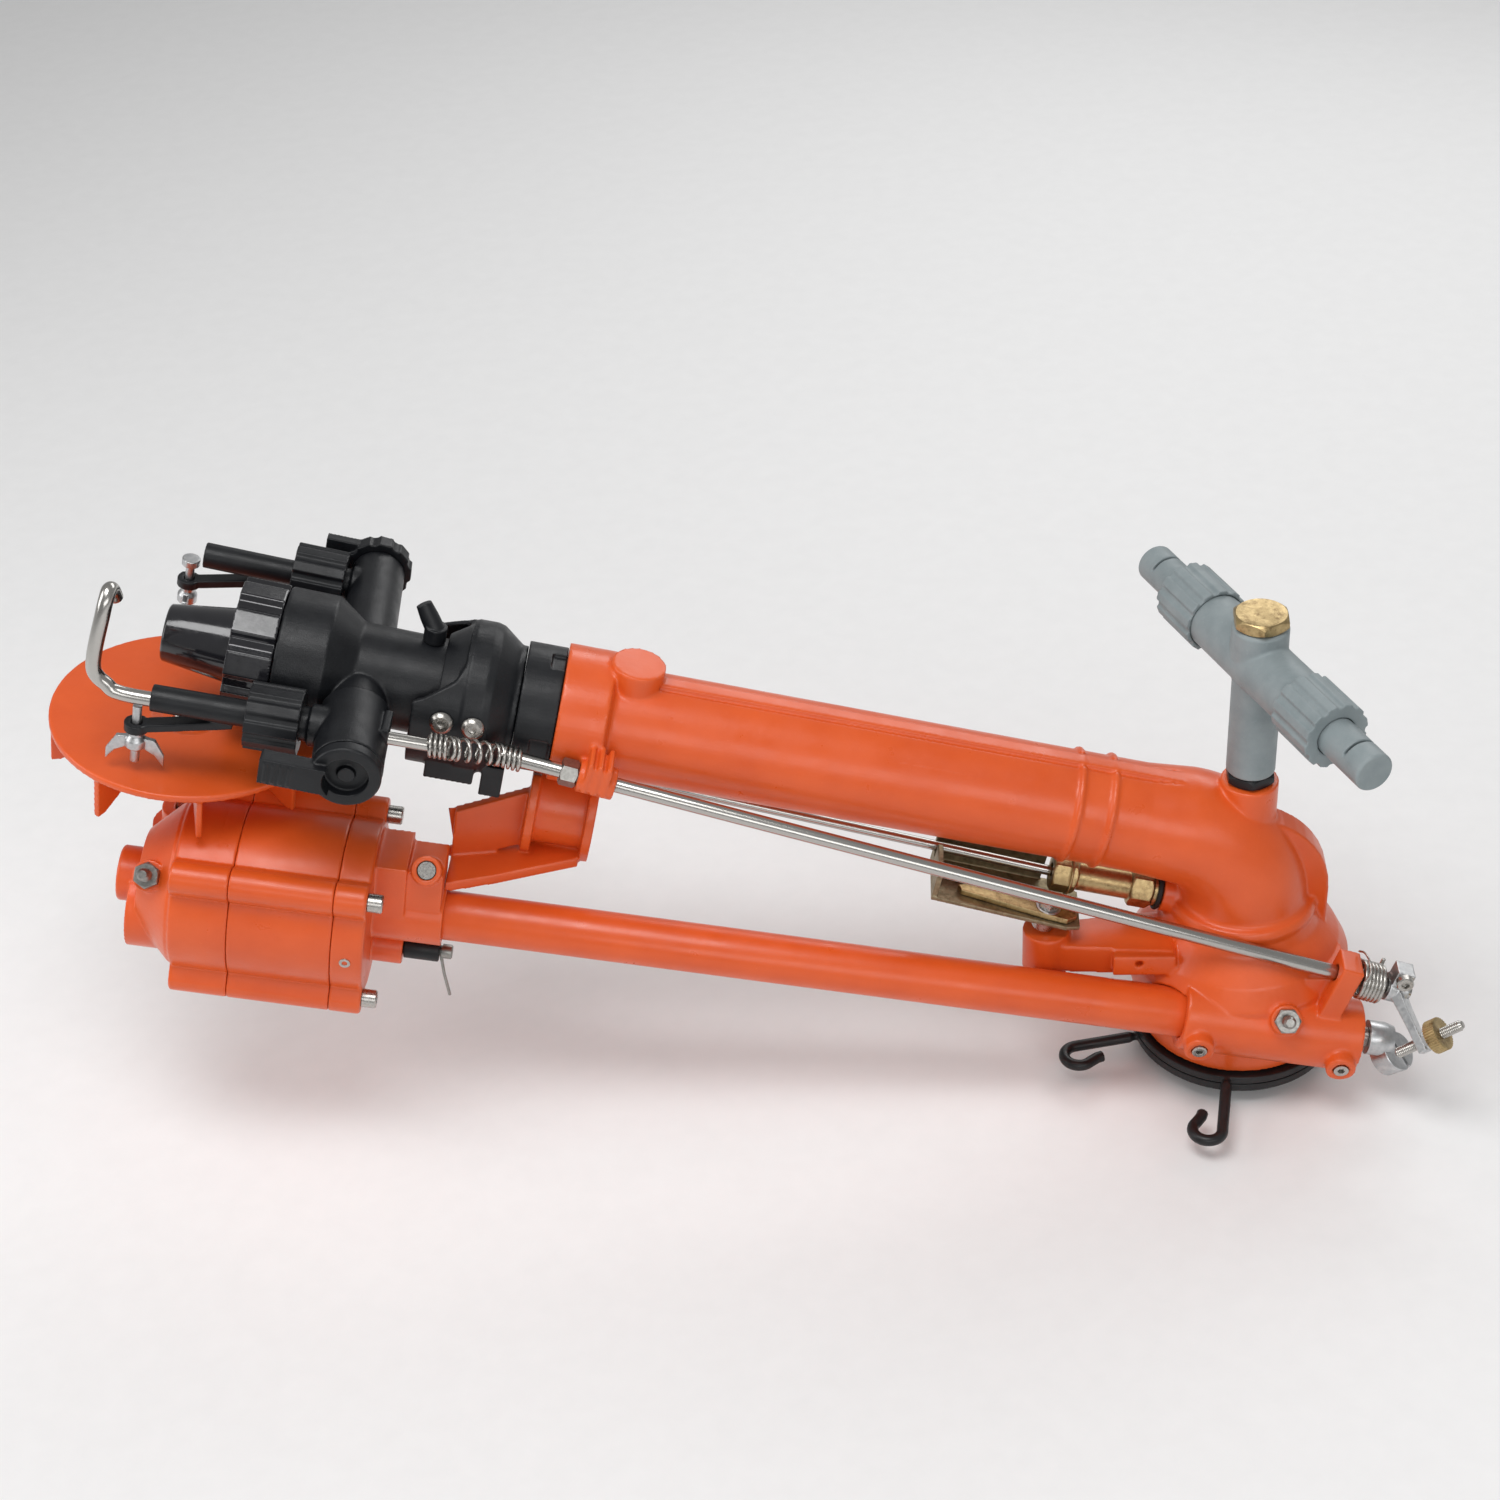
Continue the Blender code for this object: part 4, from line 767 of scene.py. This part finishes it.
# bracket from the gearbox neck to the saddle drum under the muzzle
SAD = frame(P(BAR, 366, 0, -61), D(BAR, 1, 0, 0), (0, 0, 1))
br = turn(SAD, [(-18, 29), (-13, 29), (-13, 22.5), (14, 22.5), (14, 29), (19, 29)], 22)
br.cut(box(SAD, (-30, 30), (-40, -24.5), (-40, 40)))
br.add(loft([[Vector((-452, y, z)) for y, z in ((-20, 138), (-26, 138), (-26, 168), (-20, 168))],
             [Vector((-374, y, z)) for y, z in ((-6, 148), (-12, 148), (-12, 182), (-6, 182))]]))
br.add(loft([[Vector((-441, y, z)) for y, z in ((-18, 139), (-50, 139), (-50, 145), (-18, 145))],
             [Vector((-405, y, z)) for y, z in ((4, 136.5), (-38, 136.5), (-38, 142.5), (4, 142.5))],
             [Vector((-362, y, z)) for y, z in ((14, 136), (-24, 136), (-24, 142), (14, 142))]]))
br.cut(cyl(SAD, -20, 21, 14, 14), cyl(BAR, 340, 400, COLLAR_R + GAP + 0.4, 28))
br.cut(box(DRV, (442.7, 520), (-30, 30), (-30, 60)), cyl(DRV, 440.5, 500, 17.5, 24))
emit("support_bracket", br, "orange")

# ------------------------------------------------------------------ turbine
TUR = sub(DRV, (DISC_U, 46, 0), (0, 0, 1), (1, 0, 0))          # local X up the turbine shaft
disc = turn(TUR, [(74, DISC_R), (77.4, DISC_R), (78, DISC_R - 0.8), (78, 20), (75.4, 14)], 36)
disc.add(turn(TUR, [(49, 11), (60, 12), (74.5, 15)], 14))
for _k in range(8):
    _a = 2 * math.pi * (_k + 0.35) / 8
    _f = sub(TUR, (0, 0, 0), (0, math.cos(_a), math.sin(_a)), (1, 0, 0))
    disc.add(prism(_f, [(22, 74.6), (DISC_R - 1, 74.6), (DISC_R - 1, 50), (DISC_R - 6, 50), (34, 68), (22, 70)], -1.6, 1.6))
disc.cut(cyl(TUR, 40, 80, 6.3, 12))
emit("turbine_disc", disc, "orange", P(TUR, 76, 0, 0))
tsh = turn(TUR, [(-24, 6), (75.8, 6), (75.8, 9), (79, 9), (81, 6)], 14)
emit("turbine_shaft", tsh, "steel", P(TUR, 76, 0, 0))

# ------------------------------------------------------------------ priming tee on the elbow
UP = frame((0, 0, 0), (0, 0, 1), (1, 0, 0))
nip = hexa(UP, 171.9, 178.4, 24)
nip.add(cyl(UP, 160, 173, 7.7, 16))
nip.cut(cyl(UP, 159, 180, 5, 12))
emit("riser_nipple", nip, "black")
_ty = math.radians(TEE_YAW)
TEE = frame((0, 0, TEE_Z), (math.sin(_ty), -math.cos(_ty), 0), (0, 0, 1))
tee = cyl(UP, 178.7, TEE_Z, 13, 20)
tee.add(turn(TEE, [(-62, 15.5), (62, 15.5)], 22))
tee.add(turn(UP, [(TEE_Z, 15), (269, 15), (270.2, 13.5)], 18))
tee.cut(cyl(UP, 177, 269, 9, 14), cyl(TEE, -63, 63, 9.5, 14))
tee.cut(cyl(UP, 256, 272, 10.3, 16))
emit("tee_body", tee, "grey")
for _n, _s in (("near", 1), ("far", -1)):
    _f = frame((0, 0, TEE_Z), (_s * math.sin(_ty), -_s * math.cos(_ty), 0), (0, 0, 1))
    nut = ribbed(_f, 42, 74, 18.3, 1.4, 12, 10.9)
    nut.cut(cyl(_f, 41, 66.5, 15.8, 22))
    emit("union_nut_" + _n, nut, "grey")
    jet = turn(_f, [(62.3, 15), (66.2, 15), (66.2, 10.5), (107, 10.5), (108, 9.6)], 18)
    jet.cut(cyl(_f, 61, 104, 7, 12))
    jet.cut(box(_f, (93.2, 94.8), (-12, 12), (4.5, 12)))
    emit("tee_jet_" + _n, jet, "grey")
plug = hexa(UP, 270.6, 277.4, 27)
plug.add(cyl(UP, 258, 272, 10, 14))
emit("tee_plug", plug, "brass")

# ------------------------------------------------------------------ nozzle head
bay = tube(BAR, 378.3, 399, 27.2, 34, 24)
bay.cut(box(BAR, (380, 390), (-40, -32.4), (-9, 3)))
bay.cut(box(BAR, (378, 386), (-9, 3), (32.2, 40)), box(BAR, (388, 396), (-40, -32.6), (9, 16)))
emit("bayonet_ring", bay, "black", P(BAR, 389, 0, 0))
hood = turn(BAR, [(399.3, 27.2), (399.3, 31), (402, 31), (413, 39.4), (417, 40.5), (427, 40.5), (428.5, 38), (441, 30), (441, 28.2)], 26, closed=True)
_sh = turn(BAR, [(421.3, 36.9), (421.3, 39.9), (453, 39.9), (453, 37.3)], 26, closed=True, phase=0.05)
_sh.cut(prism(BAR, [(429.1, 60), (429.1, 33), (433, 27), (448, 17.5), (454, 15), (470, 14), (470, 60)], -60, 60))
hood.add(_sh)
hood.add(box(BAR, (416, 442), (-33, -24), (-34, -18)), box(BAR, (400.5, 412), (-31, -18), (-41, -22)))
HSC = [sub(BAR, (u, 0, 0), (0, -1, 0.2), (1, 0, 0)) for u in (420, 436.5)]
for _f in HSC:
    hood.cut(cyl(_f, 36.8, 42, 3.1, 10))
emit("hood", hood, "black")
for _k, _f in enumerate(HSC):
    s = turn(_f, [(37.1, 2.8), (40.9, 2.8), (40.9, 6.2), (42, 5.8), (43.2, 4.2)], 12)
    s.cut(hexa(_f, 41.4, 45, 4.2))
    emit("hood_screw_%d" % (_k + 1), s, "steel")
kn = cyl(sub(BAR, (448.5, 4, 27.9), (0, 0, 1), (1, 0, 0)), 0, 9, 6, 14)
kn.add(sweep([P(BAR, 448.5, 4, 34), P(BAR, 453, 7, 40), P(BAR, 457, 9, 46)], [5.2, 5, 4.2], 10))
emit("hood_knob", kn, "black", P(BAR, 448.5, 4, 27.9))

def side_line(s):
    """Frame along the near (-1) or far (+1) side outlet."""
    return sub(HEAD, (0, SIDE_Y[s], SIDE_W[s]), (1, 0, SIDE_DIP[s]), (0, 0, 1))

head = turn(HEAD, [(-74, 26.5), (2, 26.5), (17, 37), (42, 37), (43, 36.2)], 28)
XT = sub(HEAD, (-1, 0, 0), (CROSS_SKEW, 1, 0), (0, 0, 1))           # local X along the cross tube (world +Y)
head.add(cyl(XT, -80, 94, 14.8, 22), cyl(XT, -84, -38, 18.3, 24))
for _s in (-1, 1):
    _f = side_line(_s)
    head.add(cyl(_f, 0, 32, 9, 16), cyl(_f, 8, 17.5, 11, 16))
_g = side_line(-1)
head.add(cyl(_g, -23, 0, 7.5, 14), slab(sub(HEAD, (-21, SIDE_Y[-1], 0), (0, 0, 1), (-1, 0, 0)), [(-17, -9), (14, -9), (14, 9), (-17, 9)], -2, 2))
head.cut(turn(HEAD, [(-76, 22), (20, 20), (44, 15)], 20))
head.cut(cyl(_g, -30, 34, 3.9, 12))
head.cut(cyl(XT, -85, -74, 11, 16), cyl(XT, 84, 95, 11, 16))
emit("head_body", head, "black")

rn = ribbed(HEAD, 43.4, 67, 37.4, 2.9, 10, 20.8, 0.55)
rn.cut(cyl(HEAD, 42, 50.4, 27, 24))
emit("ring_nut", rn, "gloss")
cone = turn(HEAD, [(43.7, 10), (43.7, 26.5), (50, 26.5), (50, 20.4), (68, 20), (102, 15.3), (103, 14.3), (103, 9)], 26, closed=True)
emit("nozzle_cone", cone, "gloss")

WIRE_PTS = []
for _s, _n in ((-1, "near"), (1, "far")):
    _f = side_line(_s)
    nut = ribbed(_f, 21.6 if _s < 0 else 20.8, 49, 17.6, 1.5, 10, 7.4)
    nut.cut(turn(_f, [(17, 11.4), (19, 11.4), (19, 9.4), (40, 9.4)], 14))
    emit("side_nut_" + _n, nut, "black")
    st = cyl(_f, 32.6, 98, 7, 16)
    st.add(cyl(_f, 33, 39.5, 9, 16))
    st.add(loft([[P(_f, 56, v, w) for v, w in ((-4, -9), (4, -9), (4, -4), (-4, -4))],
                 [P(_f, 104, v, w) for v, w in ((-4, -21.5), (4, -21.5), (4, -17), (-4, -17))]]))
    _e = sub(_f, (105, 0, -21.6), (0, 0, 1), (1, 0, 0))
    st.add(cyl(_e, 0, 4.8, 6.4, 14))
    st.cut(cyl(_e, -2, 7, 2.9, 10))
    if _s < 0:
        st.cut(cyl(_f, 60, 99, 4.2, 12), cyl(_f, 31, 56, 3.8, 12))
    emit("side_tube_" + _n, st, "black", P(_f, 33, 0, 0))
    wb = turn(sub(_f, (105, 0, -42), (0, 0, 1), (1, 0, 0)), thread(0, 9.8, 2.5, 0.9, 0.35) + [(10, 5.4), (14.5, 5.4), (17, 3.6), (20, 3.6)] + thread(20.2, 36.2, 2.5, 0.9, 0.35), 12)
    for _t in (1, -1):
        _w = sub(_f, (105, 0, -29), (_t, 0, 0) if _s < 0 else (0, _t, 0), (0, 0, 1))
        wb.add(loft([[P(_w, 3, -1.6, -3), P(_w, 3, 1.6, -3), P(_w, 3, 1.6, 3), P(_w, 3, -1.6, 3)],
                     [P(_w, 10, -1.3, -7), P(_w, 10, 1.3, -7), P(_w, 10, 1.3, 2), P(_w, 10, -1.3, 2)],
                     [P(_w, 15, -1.0, -14), P(_w, 15, 1.0, -14), P(_w, 15, 1.0, -7), P(_w, 15, -1.0, -7)]]))
    if _s > 0:
        wb.add(turn(sub(_f, (105, 0, -8), (0, 0, 1), (1, 0, 0)), [(0, 5), (4, 5)], 12))
    emit("wing_bolt_" + _n, wb, "zinc", P(_f, 33, 0, 0))

NT = side_line(-1)
_pts = [P(NT, 61, 0, 0), P(NT, 117, 0, 0)]
_pts += [Vector(q) for q in ((-586.3, -55, 284.2), (-589.6, -55, 288.6), (-590.8, -55, 294.5), (-580.2, -52.6, 326),
                             (-578.2, -50.3, 331.6), (-577.2, -46.4, 334.4), (-577.0, -42.0, 332.6), (-577.3, -38.4, 325.5))]
emit("jet_wire", sweep(_pts, 3.9, 10, (0, 1, 0), 8), "rod", P(NT, 33, 0, 0))

XN = sub(HEAD, (-1 - 84.3 * CROSS_SKEW, -84.3, 0), (-CROSS_SKEW, -1, 0), (0, 0, 1))
lev = turn(XN, [(-9, 10.6), (0, 10.6), (0, 18), (6, 18), (7, 17)], 22)
lev.add(box(HEAD, (-9, 36), (-97.5, -88), (-9, 6)))
lev.cut(cyl(XN, 2, 18, 11.5, 14))
lev.add(cyl(XN, 0, 5, 4.5, 14))
for _k in range(4):
    lev.add(box(HEAD, (19.5 + 4 * _k, 21.3 + 4 * _k), (-98.3, -96), (-7.5, 4.5)))
emit("valve_lever_near", lev, "black", P(XN, 0, 0, 0))
XF = sub(HEAD, (-1 + 94.3 * CROSS_SKEW, 94.3, 0), (CROSS_SKEW, 1, 0), (0, 0, 1))
cap = ribbed(XF, 1, 10, 18.5, 1.2, 9, 4, 0.55)
cap.add(cyl(XF, -9, 8.5, 10.6, 14), cyl(XF, 7, 11.5, 14.5, 14))
cap.add(box(HEAD, (18, 36), (97, 103), (6, 14)))
emit("valve_cap_far", cap, "black", P(XF, 0, 0, 0))

# ------------------------------------------------------------------ rocker drive
sh = cyl(NT, -52, 54, 3.4, 10)
emit("short_shaft", sh, "steel", P(NT, 33, 0, 0))
_r0, _r1 = P(RODF, _rl + 42, 0, 0), P(RODF, _rl + 54, 0, 0)
_s1, _s0 = P(NT, -54, 0, 0), P(NT, -43, 0, 0)
_mid = (_r1 + _s1) / 2
_line = [_r0, (_r0 + _r1) / 2, _r1, _mid, _s1, _s0]
_ra, _rb = [], []
for _i, _p in enumerate(_line):
    _t = ((_line[min(_i + 1, 5)] - _line[max(_i - 1, 0)])).normalized()
    _a = (Vector((0, 1, 0)) - _t * _t.y).normalized()
    _b = _t.cross(_a)
    _cs = [(math.cos(2 * math.pi * k / 10), math.sin(2 * math.pi * k / 10)) for k in range(10)]
    _ra.append([_p + 6.4 * (c * _a + s * _b) for c, s in _cs])
    _rb.append([_p + 4.7 * (c * _a + s * _b) for c, s in _cs])
def _open(f):
    """Close coils at both ends, open in the middle."""
    return 6.0 * min(f / 0.3, 1.0) + 3.6 * min(max((f - 0.3) / 0.42, 0.0), 1.0) + 5.6 * min(max((f - 0.72) / 0.28, 0.0), 1.0)

emit("coupling_spring", sweep(coil([_r0, _r1, _s1, _s0], 5.45, 1.05, _open), 1.05, 8, (1, 0, 0)), "steel")
emit("muzzle_nut", hexa(RODF, _rl + 12.3, _rl + 21.5, 12.8, 4.7), "zinc")
rod = cyl(RODF, -37.5, _rl + 52, ROD_R, 12)
emit("main_rod", rod, "steel", P(RODF, 0, 0, 0))
_tc = coil([P(RODF, -20.2, 0, 0), P(RODF, -7.8, 0, 0)], 9.9, 1.15, lambda f: 5.9 * f)
_tc = [_tc[0] + (_tc[0] - _tc[1]).normalized() * 9] + _tc + [_tc[-1] + (_tc[-1] - _tc[-2]).normalized() * 11]
emit("torsion_spring", sweep(_tc, 1.15, 8, (1, 0, 0)), "steel")
LEV = sub(RODF, (-29, 0, 0), (1, 0, 0), (0, 0, 1))
cl = cyl(LEV, -5.5, 5.5, 7.8, 18)
cl.add(box(LEV, (-5, 5), (-5.5, 5.5), (4, 14.5)))
_hub = P(LEV, 0, 0, 0)
ADJ_D = Vector((0.72, -0.2, 0.665)).normalized()
_tip = Vector((79.6, -67.6, 34.0))
_end = _tip + ADJ_D * 16                                   # where the adjusting screw crosses the lever
_d = (_end - _hub).normalized()
_s = _d.cross(Vector((0, 1, 0))).normalized()
_b = _s.cross(_d).normalized()
def _q(p, a, b, c):
    return [p - _s * a - _b * b, p - _s * a + _b * b, p + _s * c + _b * b, p + _s * c - _b * b]
cl.add(loft([_q(_hub + _d * 4, 3.0, 6.5, 3.5), _q(_hub + _d * 13, 2.6, 6, 2.6), _q(_hub + _d * 24, 2.4, 5.2, 2.4), _q(_end + _d * 5.5, 2.4, 5.2, 2.4)]))
cl.cut(cyl(LEV, -9, 9, ROD_R + GAP, 12))
ADJ = frame(_end, ADJ_D, (0, 0, 1))          # adjusting screw through the lever end
cl.cut(cyl(ADJ, -12, 12, 3.4, 12))
cl.cut(cyl(sub(LEV, (0, 0, 10.4), (0, 1, 0), (0, 0, 1)), -8, 8, 2.6, 10))
emit("clamp_lever", cl, "zinc", P(RODF, 0, 0, 0))
_lf = sub(LEV, (0, 0, 10.4), (0, 1, 0), (0, 0, 1))
_ls = turn(_lf, [(-6, 2.5), (5.6, 2.5), (5.6, 4.6), (9, 4.6), (9.6, 4.0)], 12)
_ls.cut(hexa(_lf, 7.2, 11, 4.2))
piece("lever_clamp_screw", _ls, "steel", "rocker")
_cc = [P(RODF, -4, -8, 12), P(RODF, -5, -4, 15), P(RODF, -6, 2, 16.4), P(RODF, -7.4, 7, 15), P(RODF, -8, 9.6, 12), P(RODF, -7.4, 10.4, 7)]
piece("ear_clip", sweep(_cc, 0.7, 6, (1, 0, 0), 6), "steel", "gun")
ks = ribbed(ADJ, 7.5, 14.3, 9.3, 0.5, 36, 3.05, 0.5)
piece("adjusting_screw", turn(ADJ, [(-16, 1.6)] + thread(-15, 26.2, 3.0, 1.1, 0.4) + [(27, 2.0)], 12), "steel", "rocker", ("edge", 0.05))
piece("adjusting_lock_nut", hexa(ADJ, 3.4, 7.2, 9.5, 3.05), "zinc", "rocker")
emit("knurled_screw", ks, "brass", P(RODF, 0, 0, 0))

# ------------------------------------------------------------------ reversing trip
TRU, TRV = 76.5, -18.5                                   # pivot station on the fitting line
TRP = sub(FIT, (TRU, TRV, -14.5), (0, 0, 1), (1, 0, 0))     # local X up the pivot
fit = hexa(FIT, 20.5, 33, 20)
fit.add(cyl(FIT, 7.5, 16, 7.2, 12), cyl(FIT, 15.6, 22, 9.2, 16), cyl(FIT, 32, 66, 8, 16), hexa(FIT, 63, 77, 19))
fit.cut(cyl(FIT, 6, 78, 4.4, 10))
fit.cut(turn(FIT, [(66.5, 8.8), (66.5, 12), (67.6, 12), (67.6, 8.8)], 18, closed=True))
emit("trip_fitting", fit, "brass")
piece("fitting_o_ring", turn(FIT, [(15.5, 9.4), (15.5, 10.4), (16.2, 11), (17.4, 11), (18.1, 10.4), (18.1, 9.4)], 20, closed=True), "rubber", "gun")
RD2 = frame(P(FIT, 78, 0, 0), (-1, 0.119, 0.206), (0, 0, 1))
emit("trip_rod", cyl(RD2, -6, 350, 2.9, 10), "steel", P(RD2, 0, 0, 0))
tray = slab(FIT, [(58, -26), (66, -28.5), (141, -22.5), (141, 14), (70, 11), (58, 4)], -17, -14.5)
tray.add(box(FIT, (138, 141), (-22, 14), (-16, 2.5)))
tray.add(slab(FIT, [(79, 9.4), (140, 11.8), (140, 14), (79, 11.4)], -16, 5))
tray.cut(box(FIT, (136, 143), (2.6, 11), (-7, 6)))
tray.cut(cyl(TRP, -6, 3, 4.1, 11))
emit("trip_tray", tray, "bronze")
tl = slab(FIT, [(60.5, -22), (66, -26.8), (77, -25.5), (125, -17), (127, -13), (121, -10), (78, -11), (62, -12)], -14.1, -10.6)
tl.cut(cyl(TRP, -2, 12, 4.2, 12))
emit("trip_lever", tl, "brass", P(TRP, 0, 0, 0))
_pz = P(TRP, 0, 0, 0)
pb = hexa(TRP, 4.4, 9, 10)
pb.add(cyl(TRP, -3.5, 5, 3.8, 10), cyl(TRP, -9.2, -2.8, 6, 10))
emit("trip_bolt", pb, "steel")
piece("trip_washer", turn(TRP, [(4.0, 4.3), (4.0, 6.9), (4.38, 6.9), (4.38, 4.3)], 20, closed=True), "zinc", "gun", ("edge", 0.05))

# ------------------------------------------------------------------ carried-over nodes
for _n in frame_data["nodes"]:
    if _n not in DONE:
        _o = frame_data["nodes"][_n]
        _key = {"aged_bronze": "bronze", "stainless": "steel", "zinc_plated": "zinc"}.get(SLOT_OF[_n], "steel")
        for _s in range(len(_o.material_slots)):
            _o.material_slots[_s].material = MATS[_key]
